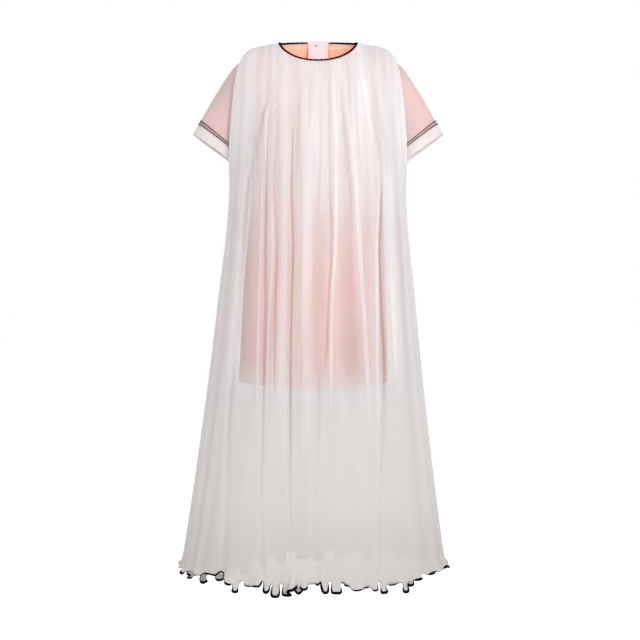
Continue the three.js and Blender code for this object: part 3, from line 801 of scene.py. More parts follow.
def finish_mesh(bm: Mesh, name: str, facing: Side | None = None) -> Piece:
    """Turns a bmesh into a smooth-shaded object at the origin.

    Args:
        bm: the mesh, which is freed.
        name: the object's name.
        facing: the panel that the mesh is, so that its faces point out of the garment.

    Returns:
        The new object.
    """
    if facing is None:
        bmesh.ops.recalc_face_normals(bm, faces=bm.faces)
    else:
        bm.normal_update()
        total = sum((face.normal.y * face.calc_area() for face in bm.faces), 0.0)
        if total * facing.value < 0:
            bmesh.ops.reverse_faces(bm, faces=bm.faces)
    mesh = bpy.data.meshes.new(name)
    bm.to_mesh(mesh)
    bm.free()
    mesh.shade_smooth()
    made = bpy.data.objects.new(name, mesh)
    bpy.context.scene.collection.objects.link(made)
    return made


def thicken(piece: Piece, thickness: float) -> None:
    """Gives a sheet its thickness, evenly to both sides."""
    wall = piece.modifiers.new("wall", "SOLIDIFY")
    wall.thickness = thickness
    wall.offset = 0.0
    wall.use_even_offset = False
    wall.use_rim = True


def path_length(points: Array) -> float:
    """The length of a path through points."""
    return float(np.linalg.norm(np.diff(points, axis=0), axis=1).sum())


def soften(points: Array, times: int) -> None:
    """Rounds the corners of an open path, whose ends stay."""
    for _ in range(times):
        points[1:-1] = points[1:-1] * 0.5 + (points[:-2] + points[2:]) * 0.25


def resample(points: Array, count: int) -> Array:
    """A path's points, spread again at even distances, with any further columns that they carry."""
    reach = np.concatenate([[0.0], np.cumsum(np.linalg.norm(np.diff(points[:, :3], axis=0), axis=1))])
    places = np.linspace(0.0, reach[-1], count)
    return np.stack([np.interp(places, reach, column) for column in points.T], axis=1)


def wrapped_tube(columns: int, rows: int, place: Callable[[Array, Array], Array]) -> Mesh:
    """A grid wrapped round into a tube, with its seam merged and its own cloth coordinates.

    Args:
        columns: steps round the tube.
        rows: steps along it.
        place: gives the points for turns from 0 to 2 pi and shares of the length from 0 to 1.

    Returns:
        The tube's mesh.
    """
    bm, across, up = flat_grid(columns, rows)
    turn = math.pi * (across + 1)
    share = (1 + up) / 2
    points = place(turn, share)
    middle = np.abs(share - 0.5) < 0.5 / rows
    girth = path_length(points[middle][np.argsort(turn[middle])])
    length = path_length(place(np.zeros(rows + 1), np.linspace(0.0, 1.0, rows + 1)))
    lay_cloth(bm, turn / (2 * math.pi) * girth, share * length)
    move_to(bm, points)
    bmesh.ops.remove_doubles(bm, verts=bm.verts, dist=1e-6)
    return bm


class Route:
    """A path that a thread follows, with a frame that doesn't twist along it.

    Args:
        points: the path's points, evenly spaced enough to bend smoothly.
        closed: whether the last point leads back to the first.
    """

    def __init__(self, points: Array, closed: bool) -> None:
        """Works out the path's directions, its length and its frame."""
        self.points = points
        self.closed = closed
        steps = np.roll(points, -1, axis=0) - np.roll(points, 1, axis=0)
        if not closed:
            steps[0], steps[-1] = points[1] - points[0], points[-1] - points[-2]
        self.tangents = unit(steps)
        gaps = np.linalg.norm(np.diff(points, axis=0), axis=1)
        self.reach = np.concatenate([[0.0], np.cumsum(gaps)])
        self.length = float(self.reach[-1]) + (math.dist(points[0], points[-1]) if closed else 0.0)
        self.normals = self.carry_frame()

    def carry_frame(self) -> Array:
        """Carries a normal along the path, and spreads the turn that closes a loop."""
        normals = np.zeros_like(self.points)
        start = np.cross(self.tangents[0], [0.3, 0.2, 0.93])
        normals[0] = start / np.linalg.norm(start)
        for k in range(1, len(self.points)):
            moved = normals[k - 1] - self.tangents[k] * normals[k - 1].dot(self.tangents[k])
            normals[k] = moved / np.linalg.norm(moved)
        if self.closed:
            last = normals[-1] - self.tangents[0] * normals[-1].dot(self.tangents[0])
            last /= np.linalg.norm(last)
            side = np.cross(self.tangents[0], last)
            twist = math.atan2(float(normals[0].dot(side)), float(normals[0].dot(last)))
            angles = twist * np.arange(len(self.points)) / len(self.points)
            sides = np.cross(self.tangents, normals)
            normals = normals * np.cos(angles)[:, None] + sides * np.sin(angles)[:, None]
        return normals

    def around(self, index: Array, angle: Array, radius: Array) -> Array:
        """Points at an angle and a radius round the path's points.

        Args:
            index: numbers of the path's points.
            angle: angles round the path.
            radius: distances from it.

        Returns:
            An array with a row for each point.
        """
        sides = np.cross(self.tangents[index], self.normals[index])
        away = self.normals[index] * np.cos(angle)[:, None] + sides * np.sin(angle)[:, None]
        return self.points[index] + away * radius[:, None]

    def tube(self, sides: int, radius: Array) -> Mesh:
        """A round thread along the path.

        Args:
            sides: sides of its section.
            radius: its radius at each of the path's points.

        Returns:
            A closed mesh.
        """
        steps = len(self.points)
        rows = steps if self.closed else steps - 1

        def place(turn: Array, share: Array) -> Array:
            """Points of the thread at turns and shares of its length."""
            index = np.round(share * rows).astype(int) % steps
            return self.around(index, turn, radius[index])

        bm = wrapped_tube(sides, rows, place)
        if not self.closed:
            bmesh.ops.holes_fill(bm, edges=bm.edges, sides=0)
        return bm

    def helix(self, core: Array, pitch: float, steps_a_turn: int, start: float = 0.0) -> "Route":
        """The path of a thread wound round this one.

        Args:
            core: the winding's radius at each of the path's points.
            pitch: the distance between turns.
            steps_a_turn: points in one turn.
            start: the angle it starts at.

        Returns:
            The wound path, open or closed as this one is.
        """
        turns = max(3, round(self.length / pitch))
        count = turns * steps_a_turn
        share = np.arange(count) / (count if self.closed else count - 1)
        place = share * (len(self.points) if self.closed else len(self.points) - 1)
        low = np.floor(place).astype(int) % len(self.points)
        high = (low + 1) % len(self.points) if self.closed else np.minimum(low + 1, len(self.points) - 1)
        mix = place - np.floor(place)
        angle = start + 2 * math.pi * turns * share
        near, far = self.around(low, angle, core[low]), self.around(high, angle, core[high])
        return Route(near * (1 - mix)[:, None] + far * mix[:, None], self.closed)


@dataclass
class SlipPanel:
    """The front or back of the peach jersey slip, cut straight to the knee."""

    side: Side
    columns: int = 220
    rows: int = 150
    thickness: float = 0.0008
    armhole: Armhole = field(default_factory=Armhole)
    folds: float = 4.0
    fold_height: float = 0.0022
    fold_below: Pair = (0.10, 0.45)
    fold_drift: float = 0.6
    fold_sway: Wave = Wave(0.8, 1.3)
    sway_start: float = 1.4
    fold_share: float = 0.8
    fold_uneven: Wave = Wave(0.3, 2.3)
    rim_power: float = 6.0
    hem_swing: float = 0.011
    swing_reach: float = 0.09
    left_swing: float = 0.011
    left_below: Pair = (0.32, 0.35)
    form: PanelForm = field(init=False)

    def __post_init__(self) -> None:
        """Makes the plain form that the soft folds are laid on."""
        self.form = PanelForm(SLIP_ABOVE + self.armhole.rows() + SLIP_BELOW, self.side)

    def name(self) -> str:
        """The node that the panel stands for."""
        return f"slip_{self.side.name.lower()}"

    def shape(self, across: Array, down: Array) -> Array:
        """Lays soft folds on the plain form and lets the hem swing.

        Args:
            across: places across the panel.
            down: distances down the panel.

        Returns:
            The panel's points.
        """
        plain = self.form.points(across, down)
        _, out = self.form.directions(across, down)
        turn = math.pi * (across + 1)
        calm = 1 - np.abs(across) ** self.rim_power
        sway = self.fold_sway.at(turn, self.sway_start * self.side.value)
        phase = self.folds * turn + sway + self.fold_drift * down
        size = -self.fold_height * rise(down, self.fold_below)
        height = size * (1 + np.sin(phase)) * (self.fold_share + self.fold_uneven.at(turn))
        points = plain + out * (height * calm)[:, None]
        points[:, 0] -= self.left_swing * rise(-points[:, 2], self.left_below) * smooth(-across)
        near_hem = np.exp(-(((self.form.length - down) / self.swing_reach) ** 2))
        points[:, 2] -= self.hem_swing * near_hem * np.cos(math.pi / 2 * across) ** 2
        self.form.keep_side(points)
        return points

    def build(self) -> Piece:
        """Makes the panel from a grid, with its own UV map."""
        bm, across, share = flat_grid(self.columns, self.rows)
        down = (1.0 - share) / 2 * self.form.length
        lay_cloth(bm, across * self.form.arc(self.form.length), -down)
        move_to(bm, self.shape(across, down))
        piece = finish_mesh(bm, f"{self.name()}_jersey", facing=self.side)
        thicken(piece, self.thickness)
        return piece


@dataclass(frozen=True)
class Station:
    """One section of a sleeve: its top and under points in the X-Z plane and half its depth."""

    top_x: float
    top_z: float
    under_x: float
    under_z: float
    depth: float


SLEEVE_STATIONS = (
    Station(0.1822, -0.037, 0.1702, -0.249, 0.058),
    Station(0.198, -0.050, 0.177, -0.256, 0.060),
    Station(0.221, -0.071, 0.181, -0.266, 0.059),
    Station(0.254, -0.119, 0.185, -0.281, 0.056),
    Station(0.309, -0.215, 0.189, -0.309, 0.051),
    Station(0.325, -0.242, 0.194, -0.336, 0.049),
)


class SleeveForm:
    """The oval tube that a sleeve's layers follow, from the armhole to the cuff's edge.

    Args:
        hand: which of the two sleeves it is.
    """

    def __init__(self, hand: Hand) -> None:
        """Reads the sleeve's sections and how far apart they lie."""
        self.hand = hand
        tops = [(station.top_x, station.top_z) for station in SLEEVE_STATIONS]
        steps = [math.dist(a, b) for a, b in zip(tops, tops[1:])]
        self.knots = np.concatenate([[0.0], np.cumsum(steps)])
        self.length = float(self.knots[-1])
        self.band = float(self.knots[-2])
        self.tracks = {
            name: Track(self.knots, [getattr(station, name) for station in SLEEVE_STATIONS])
            for name in ("top_x", "top_z", "under_x", "under_z", "depth")
        }

    def points(self, turn: Array, along: Array, off: Array) -> Array:
        """Points of the tube.

        Args:
            turn: angles round the sleeve from its top.
            along: distances from the armhole along its top line.
            off: distances outside the lining.

        Returns:
            An array with a row of X, Y and Z for each place.
        """
        at = {name: track.at(along) for name, track in self.tracks.items()}
        top = np.stack([at["top_x"], at["top_z"]], axis=1)
        under = np.stack([at["under_x"], at["under_z"]], axis=1)
        half = np.linalg.norm(top - under, axis=1)[:, None] / 2
        centre, upwards = (top + under) / 2, (top - under) / (2 * half)
        section = centre + upwards * (half + off[:, None]) * np.cos(turn)[:, None]
        y = (at["depth"] + off) * np.sin(turn)
        return np.stack([self.hand.value * section[:, 0], y, section[:, 1]], axis=1)


@dataclass
class Sleeve:
    """A short sleeve: a jersey lining under sheer mesh, a stitched band and a sheer cuff."""

    hand: Hand
    columns: int = 132
    rows: int = 64
    cuff_rows: int = 12
    lining_wall: float = 0.0008
    lining_short: float = 0.0004
    lining_crease: float = 0.7
    mesh_wall: float = 0.0006
    mesh_short: float = 0.0003
    mesh_cover: float = 0.60
    mesh_off: float = 0.0036
    root_off: float = 0.0046
    root_run: float = 0.03
    under_off: float = 0.0036
    cuff_wall: float = 0.0009
    cuff_cover: float = 0.80
    cuff_curl: float = 0.0006
    curl_from: Pair = (0.86, 0.14)
    flare: Wave = Wave(0.0016, 7.0, 1.0)
    flare_share: float = 0.6
    flare_uneven: Wave = Wave(0.4, 3.0)
    wrinkle: float = 0.0014
    wrinkles: tuple[Wave, Wave] = (Wave(0.6, 3.0), Wave(0.4, 5.0, 2.1))
    wrinkle_slants: Pair = (9.0, -6.0)
    stitch_length: float = 0.0034
    stitch_share: float = 0.47
    stitch_radius: float = 0.0013
    row_gap: float = 0.0084
    row_below: float = 0.0014
    ring_steps: int = 720
    looper_radius: float = 0.00030
    looper_steps: int = 4
    form: SleeveForm = field(init=False)

    def __post_init__(self) -> None:
        """Makes the tube that the layers follow."""
        self.form = SleeveForm(self.hand)

    def label(self) -> str:
        """The sleeve's name in the nodes."""
        return self.hand.name.lower()

    def creases(self, turn: Array, along: Array, start: float) -> Array:
        """Heights of the soft diagonal creases that run out from under the arm."""
        share = along / self.form.length
        pairs = zip(self.wrinkles, self.wrinkle_slants)
        fall = sum(wave.at(turn, slant * share + start) for wave, slant in pairs)
        return self.wrinkle * fall * smooth(share * 4.0) * smooth((1.02 - share) * 5.0)

    def outer_off(self, turn: Array, along: Array) -> Array:
        """How far outside the lining the sheer layer lies."""
        root = between(self.root_off, self.mesh_off, smooth(along / self.root_run))
        under = self.under_off * ((1 - np.cos(turn)) / 2) ** 2
        return root + under + self.creases(turn, along, 1.7)

    def tube(self, name: str, rows: int, ends: Pair, off: Offset, wall: float, cover: float = 0.0) -> Piece:
        """Makes one tube of the sleeve.

        Args:
            name: the piece's name.
            rows: steps along it.
            ends: its distances from the armhole.
            off: how far outside the lining it lies, by turn, distance and share of its length.
            wall: its thickness.
            cover: how much of what lies behind it hides, if it is sheer.

        Returns:
            The piece.
        """

        def place(turn: Array, share: Array) -> Array:
            """Points of the tube at turns and shares of its length."""
            along = between(*ends, share)
            return self.form.points(turn, along, off(turn, along, share))

        bm = wrapped_tube(self.columns, rows, place)
        if cover:
            lay_cover(bm, np.full(len(bm.verts), cover))
        piece = finish_mesh(bm, name)
        thicken(piece, wall)
        return piece

    def lining(self) -> Piece:
        """Makes the inner tube of slip jersey."""

        def off(turn: Array, along: Array, _: Array) -> Array:
            """The lining lies on the form but for its creases."""
            return self.creases(turn, along, 0.4) * self.lining_crease

        ends = (0.0, self.form.band - self.lining_short)
        return self.tube(f"sleeve_lining_{self.label()}_jersey", self.rows, ends, off, self.lining_wall)

    def mesh(self) -> Piece:
        """Makes the sheer outer tube, down to the stitched band."""

        def off(turn: Array, along: Array, _: Array) -> Array:
            """The sheer layer lies outside the lining."""
            return self.outer_off(turn, along)

        ends = (0.0, self.form.band - self.mesh_short)
        name = f"sleeve_mesh_{self.label()}_sheer"
        return self.tube(name, self.rows, ends, off, self.mesh_wall, self.mesh_cover)

    def cuff(self) -> Piece:
        """Makes the doubled sheer band beyond the stitching, with its folded edge rolled in."""

        def off(turn: Array, along: Array, share: Array) -> Array:
            """The cuff goes on from the sheer layer, flares and rolls in."""
            flare = self.flare.at(turn) * share * (self.flare_share + self.flare_uneven.at(turn))
            return self.outer_off(turn, along) + flare - self.cuff_curl * rise(share, self.curl_from)

        ends = (self.form.band + self.mesh_short, self.form.length)
        name = f"cuff_{self.label()}_sheer"
        return self.tube(name, self.cuff_rows, ends, off, self.cuff_wall, self.cuff_cover)

    def stitch_ring(self, from_band: float, off: float) -> Array:
        """A ring round the sleeve on its sheer layer, at a distance from the stitched band."""
        turn = np.arange(self.ring_steps) / self.ring_steps * 2 * math.pi
        along = np.full(self.ring_steps, self.form.band + from_band)
        return self.form.points(turn, along, self.outer_off(turn, along) + off)

    def stitches(self) -> list[Piece]:
        """Makes the coverstitch: two rows of long stitches and the looper thread between them."""
        lines = (-self.row_gap, self.row_below)
        rows = bmesh.new()
        off = self.mesh_wall / 2 + self.stitch_radius * 0.8
        for line in lines:
            route = Route(self.stitch_ring(line, off), closed=True)
            count = round(route.length / self.stitch_length)
            for number in range(count):
                self.add_stitch(rows, route, int(number / count * len(route.points)))
        stitched = finish_mesh(rows, f"coverstitch_{self.label()}_rows")
        ends = [self.stitch_ring(line, off * 0.7) for line in lines]
        count = 2 * round(Route(ends[0], closed=True).length / self.stitch_length)
        picked = [ends[k % 2][int(k / count * self.ring_steps)] for k in range(count)]
        shares = [step / self.looper_steps for step in range(self.looper_steps)]
        legs = list(zip(picked, picked[1:] + picked[:1]))
        zigzag = np.array([between(start, end, share) for start, end in legs for share in shares])
        thread = Route(zigzag, closed=True).tube(5, np.full(len(zigzag), self.looper_radius))
        return [stitched, finish_mesh(thread, f"coverstitch_{self.label()}_looper")]

    def add_stitch(self, bm: Mesh, route: Route, index: int) -> None:
        """Adds one long stitch that lies along a row."""
        tangent, normal = Vector(route.tangents[index]), Vector(route.normals[index])
        turned = Matrix((tangent, normal, tangent.cross(normal))).transposed().to_4x4()
        half_length = self.stitch_length * self.stitch_share
        sized = Matrix.Diagonal((half_length, self.stitch_radius, self.stitch_radius, 1.0))
        moved = Matrix.Translation(Vector(route.points[index]))
        placed = moved @ turned @ sized @ Matrix.Rotation(math.pi / 2, 4, "Y")
        bmesh.ops.create_uvsphere(bm, u_segments=6, v_segments=5, radius=1.0, matrix=placed)


@dataclass
class NeckEdging:
    """The dark overlocked edge round the neck, from one side of the tab to the other."""

    overlay: dict[Side, PanelForm]
    slip: dict[Side, PanelForm]
    tab_width: float = 0.052
    radius: float = 0.0022
    off_cloth: float = 0.0007
    quarter: int = 70
    steps: int = 420
    core: float = 0.0026
    back_core: float = 0.0018
    front_from: Pair = (-0.030, 0.040)
    lumps: Wave = Wave(0.34, 640.0)
    lump_beat: Wave = Wave(1.0, 173.0, 1.0)
    end_share: float = 0.2
    end_steps: float = 3.0
    thread: float = 0.0006
    pitch: float = 0.0021

    def point(self, across: Array, side: Side) -> Array:
        """Points of the edging's middle, over the edges of the overlay and the slip."""
        top = np.zeros_like(across)
        below = np.full_like(across, self.overlay[side].knots[1])
        edge = self.overlay[side].points(across, top)
        away = unit(edge - self.overlay[side].points(across, below))
        middle = (edge + self.slip[side].points(across, top)) / 2
        return middle + away * (self.radius + self.off_cloth)

    def route(self) -> Route:
        """The edging's path round the neck."""
        tab = float(across_of((self.tab_width / 2 + self.radius) / OVERLAY_ROWS[0].half))
        share = np.arange(self.quarter) / self.quarter
        rough = np.concatenate([
            self.point(between(-tab, -1.0, share), Side.BACK),
            self.point(between(-1.0, 1.0, share), Side.FRONT),
            self.point(between(1.0, tab, np.append(share, 1.0)), Side.BACK),
        ])
        soften(rough, 3)
        return Route(resample(rough, self.steps), closed=False)

    def build(self) -> list[Piece]:
        """Makes the core of the edge and the thread wound over it."""
        route = self.route()
        step = np.arange(self.steps)
        ends = np.minimum(step, step[::-1]) / self.end_steps
        taper = np.sqrt(np.clip(self.end_share + (1 - self.end_share) * ends, 0.0, 1.0))
        lumps = 1 + self.lumps.at(route.reach) * self.lump_beat.at(route.reach)
        core = between(self.back_core, self.core, rise(-route.points[:, 1], self.front_from)) * lumps * taper
        wound = route.helix(core + self.thread * 0.5, self.pitch, 10)
        return [
            finish_mesh(route.tube(10, core), "neck_edging_core"),
            finish_mesh(wound.tube(5, np.full(len(wound.points), self.thread)), "neck_edging_thread"),
        ]


@dataclass
class HemEdging:
    """The rolled edge in dark thread that runs round the whole hem, thickest on its low lobes."""

    panels: dict[Side, OverlayPanel]
    samples: int = 3000
    steps: int = 2200
    thin: float = 0.0007
    thick: float = 0.0037

    def build(self) -> Piece:
        """Makes the thread."""
        parts = []
        for side, direction in ((Side.FRONT, 1), (Side.BACK, -1)):
            across = np.linspace(-direction, direction, self.samples)[:-1]
            panel = self.panels[side]
            points = panel.shape(across, np.full_like(across, panel.form.length))
            parts.append(np.column_stack([points, panel.lips(across)]))
        rough = np.concatenate(parts)
        even = resample(np.vstack([rough, rough[:1]]), self.steps + 1)[:-1]
        radius = between(self.thin, self.thick, even[:, 3])
        return finish_mesh(Route(even[:, :3], closed=True).tube(8, radius), "hem_edging_thread")


@dataclass
class NeckTab:
    """The plain pale tab folded over the back neck edge, and its small dark snap.

    fold gives distances down the cloth from the neck edge and distances out from it, from the
    outside of the tab over its fold to its inside.
    """

    width: float = 0.052
    wall: float = 0.0011
    columns: int = 40
    steps: int = 110
    fold: tuple[Pair, ...] = (
        (0.014, 0.0048), (0.005, 0.0044), (0.000, 0.0038), (-0.0046, 0.0024),
        (-0.0064, -0.0004), (-0.0056, -0.0034), (-0.0015, -0.0056),
    )
    leg_setback: float = 0.001
    straight_from_z: float = 0.009
    hangs_to_z: float = -0.062
    half_length: float = 0.05
    edge_bevel: float = 0.0003
    snap_radius: float = 0.0024
    snap_height: float = 0.0011
    snap_sunk: float = 0.0006
    snap_x: float = -0.005
    snap_z: float = 0.0054

    def profile(self) -> Array:
        """The tab's side view as rows of Y and Z, smoothed round its fold."""
        edge, below = OVERLAY_ROWS[0], OVERLAY_ROWS[1]
        down = np.array([below.back - edge.back, below.back_z - edge.back_z])
        down /= np.linalg.norm(down)
        out = np.array([-down[1], down[0]])
        points = [np.array([edge.back, edge.back_z]) + down * along + out * off for along, off in self.fold]
        hangs_at = points[-1][0] - self.leg_setback
        points += [np.array([hangs_at, z]) for z in (self.straight_from_z, self.hangs_to_z)]
        fine = resample(np.column_stack([points, np.zeros(len(points))]), self.steps)[:, :2]
        soften(fine, 6)
        return fine

    def bow(self, x: Array) -> Array:
        """How far the tab bows with the neck edge away from its middle."""
        edge = OVERLAY_ROWS[0]
        return edge.back * (1 - np.sqrt(1 - (x / edge.half) ** 2))

    def build(self) -> Piece:
        """Makes the tab, with its own UV map."""
        profile = self.profile()
        rows = len(profile) - 1
        bm, across, up = flat_grid(self.columns, rows)
        x = across * self.width / 2
        lay_cloth(bm, x, up * self.half_length)
        row = np.round((up + 1) / 2 * rows).astype(int)
        move_to(bm, np.stack([x, profile[row, 0] - self.bow(x), profile[row, 1]], axis=1))
        band = finish_mesh(bm, "neck_tab_tape")
        thicken(band, self.wall)
        edge = band.modifiers.new("edge", "BEVEL")
        edge.width = self.edge_bevel
        edge.segments = 2
        edge.limit_method = "ANGLE"
        return band

    def snap(self) -> Piece:
        """Makes the small domed snap on the tab's inside."""
        bowed = float(self.bow(abs(self.snap_x) + self.snap_radius))
        y = float(self.profile()[-1, 0]) - self.wall / 2 - bowed - self.snap_sunk
        sized = Matrix.Diagonal((self.snap_radius, self.snap_height, self.snap_radius, 1.0))
        moved = Matrix.Translation((self.snap_x, y, self.snap_z))
        placed = moved @ sized @ Matrix.Rotation(math.pi / 2, 4, "X")
        bm = bmesh.new()
        bmesh.ops.create_uvsphere(bm, u_segments=24, v_segments=14, radius=1.0, matrix=placed)
        return finish_mesh(bm, "neck_snap_dome")


BLOTCH_RANGE = (0.35, 0.65)
STREAK_RANGE = (0.30, 0.70)
BAND_SCALE = 0.31


class Recipe:
    """A material under way: its nodes, its shader and short ways to add to them.

    Args:
        name: the material's name.
    """

    def __init__(self, name: str) -> None:
        """Starts the material with its shader and its output."""
        self.material = bpy.data.materials.new(name)
        self.material.use_nodes = True
        self.tree = self.material.node_tree
        self.tree.nodes.clear()
        self.shader = self.add("BsdfPrincipled")
        self.add("OutputMaterial", Surface=self.shader.outputs["BSDF"])

    def fill(self, node: bpy.types.Node, values: dict[str, object]) -> None:
        """Sets or links a node's inputs, named with _ for a space or by i and their number."""
        for key, value in values.items():
            socket = node.inputs[int(key[1:])] if key[1:].isdigit() else node.inputs[key.replace("_", " ")]
            if isinstance(value, Socket):
                self.tree.links.new(value, socket)
            else:
                socket.default_value = value

    def add(self, kind: str, **values: object) -> bpy.types.Node:
        """Adds a node. A value that names a setting of the node is one, and others are its inputs."""
        node = self.tree.nodes.new(f"ShaderNode{kind}")
        inputs = {}
        for key, value in values.items():
            if hasattr(node, key):
                setattr(node, key, value)
            else:
                inputs[key] = value
        self.fill(node, inputs)
        return node

    def set(self, **values: object) -> None:
        """Sets or links the shader's own inputs."""
        self.fill(self.shader, values)

    def math(self, operation: str, first: object, second: object = 0.0) -> Socket:
        """The result of a Math node."""
        return self.add("Math", operation=operation, i0=first, i1=second).outputs[0]

    def ramp(self, value: Socket, low: float, high: float, start: float, end: float) -> Socket:
        """A value stepped linearly from one range into another, held at its ends."""
        ranges = {"From_Min": low, "From_Max": high, "To_Min": start, "To_Max": end}
        return self.add("MapRange", clamp=True, Value=value, **ranges).outputs["Result"]

    def cloth(self, across: float, along: float, off: float = 1.0) -> Socket:
        """The cloth's own coordinates, in metres, scaled."""
        coordinates = self.add("UVMap", uv_map=CLOTH_UV).outputs["UV"]
        return self.add("Mapping", Vector=coordinates, Scale=(across, along, off)).outputs["Vector"]

    def place(self, scale: float) -> Socket:
        """Object coordinates, scaled."""
        coordinates = self.add("TexCoord").outputs["Object"]
        return self.add("Mapping", Vector=coordinates, Scale=(scale, scale, scale)).outputs["Vector"]

    def axis(self, name: str) -> Socket:
        """One of the Object coordinates."""
        return self.add("SeparateXYZ", i0=self.add("TexCoord").outputs["Object"]).outputs[name]

    def noise(self, place: Socket, detail: float, **settings: float) -> Socket:
        """Noise over a place."""
        return self.add("TexNoise", Vector=place, Scale=1.0, Detail=detail, **settings).outputs["Fac"]

    def bands(self, place: Socket, direction: str, distortion: float = 0.4) -> Socket:
        """Even bands over a place."""
        kinds = {"wave_type": "BANDS", "bands_direction": direction}
        return self.add("TexWave", **kinds, Vector=place, Scale=1.0, Distortion=distortion).outputs["Fac"]

    def blend(self, factor: Socket, first: Socket | Colour, second: Colour) -> Socket:
        """A colour, or one mixed before, that turns into another by a factor."""
        start = first if isinstance(first, Socket) else (*first, 1.0)
        return self.add("Mix", data_type="RGBA", i0=factor, i6=start, i7=(*second, 1.0)).outputs[2]

    def mottle(self, scale: float, detail: float, light: Colour, shade: Colour) -> Socket:
        """A colour with soft blotches of another."""
        blotches = self.noise(self.place(scale), detail)
        return self.blend(self.ramp(blotches, *BLOTCH_RANGE, 0.0, 1.0), light, shade)

    def bump(self, height: Socket, distance: float, strength: float) -> None:
        """Raises the surface by a height."""
        node = self.add("Bump", Height=height, Distance=distance, Strength=strength)
        self.set(Normal=node.outputs["Normal"])


@dataclass(frozen=True)
class NetFinish:
    """Sheer net: it hides as much as the piece's cover says, in long uneven streaks.

    A net with a low colour greys from low_from down, and darkens again towards the hem with painted
    shade for the light that falls off there. Its streaks fade below the slip and at the sides.
    """

    name: str
    light: Colour
    shade: Colour
    streak_across: float
    streak_down: float
    streak_depth: float
    low: Colour | None = None
    streak_detail: float = 0.6
    streak_roughness: float = 0.40
    broad: float = 0.0
    broad_across: float = 0.38
    broad_down: float = 0.5
    calm_below: Point = (-0.80, -0.95, 0.75)
    calm_beside: Point = (0.12, 0.20, 0.35)
    low_from: Pair = (-0.86, -1.00)
    # painted shade: the grey that the net darkens to towards the hem, and the heights it blends over
    hem: Colour = (0.72, 0.675, 0.66)
    hem_shade_from: Pair = (-1.18, -1.40)
    hole: float = 0.0016
    hole_depth: float = 0.18
    hole_uneven: float = 0.15
    thread_reach: float = 0.35
    most_cover: float = 0.97
    blotch_scale: float = 9.0
    roughness: float = 0.9
    sheen: float = 0.25

    def swing(self, recipe: Recipe) -> Socket:
        """How much more or less the net hides in its streaks."""
        narrow = recipe.cloth(1 / self.streak_across, 1 / self.streak_down)
        fine = recipe.noise(narrow, self.streak_detail, Roughness=self.streak_roughness)
        fine = recipe.ramp(fine, *STREAK_RANGE, -self.streak_depth, self.streak_depth)
        wide = recipe.cloth(self.broad_across / self.streak_across, self.broad_down / self.streak_down)
        broad = recipe.noise(wide, 0.0)
        swing = recipe.math("ADD", fine, recipe.ramp(broad, *STREAK_RANGE, -self.broad, self.broad))
        if self.low:
            start, end, calm = self.calm_below
            below = recipe.math("SUBTRACT", 1.0, recipe.ramp(recipe.axis("Z"), start, end, 0.0, calm))
            start, end, least = self.calm_beside
            beside = recipe.ramp(recipe.math("ABSOLUTE", recipe.axis("X")), start, end, 1.0, least)
            swing = recipe.math("MULTIPLY", recipe.math("MULTIPLY", swing, below), beside)
        return swing

    def make(self) -> bpy.types.Material:
        """Makes the material."""
        recipe = Recipe(self.name)
        cover = recipe.add("Attribute", attribute_name=COVER).outputs["Fac"]
        streak = recipe.math("ADD", 1.0, self.swing(recipe))
        holes = recipe.cloth(1 / self.hole, 1 / self.hole)
        net = recipe.add(
            "TexVoronoi", feature="DISTANCE_TO_EDGE", Vector=holes, Scale=1.0, Randomness=self.hole_uneven
        ).outputs["Distance"]
        thread = recipe.ramp(net, 0.0, self.thread_reach, 1 + self.hole_depth, 1 - self.hole_depth)
        alpha = recipe.math("MULTIPLY", recipe.math("MULTIPLY", cover, streak), thread)
        colour = recipe.mottle(self.blotch_scale, 2.0, self.light, self.shade)
        if self.low:
            # the low colour, then painted shade that darkens the net towards the hem
            for span, lower in ((self.low_from, self.low), (self.hem_shade_from, self.hem)):
                colour = recipe.blend(recipe.ramp(recipe.axis("Z"), *span, 0.0, 1.0), colour, lower)
        recipe.bump(net, 0.0002, 0.4)
        recipe.set(Alpha=recipe.math("MINIMUM", alpha, self.most_cover), Base_Color=colour)
        recipe.set(Roughness=self.roughness, Specular_IOR_Level=0.2)
        recipe.set(Sheen_Weight=self.sheen, Sheen_Roughness=0.5)
        return recipe.material


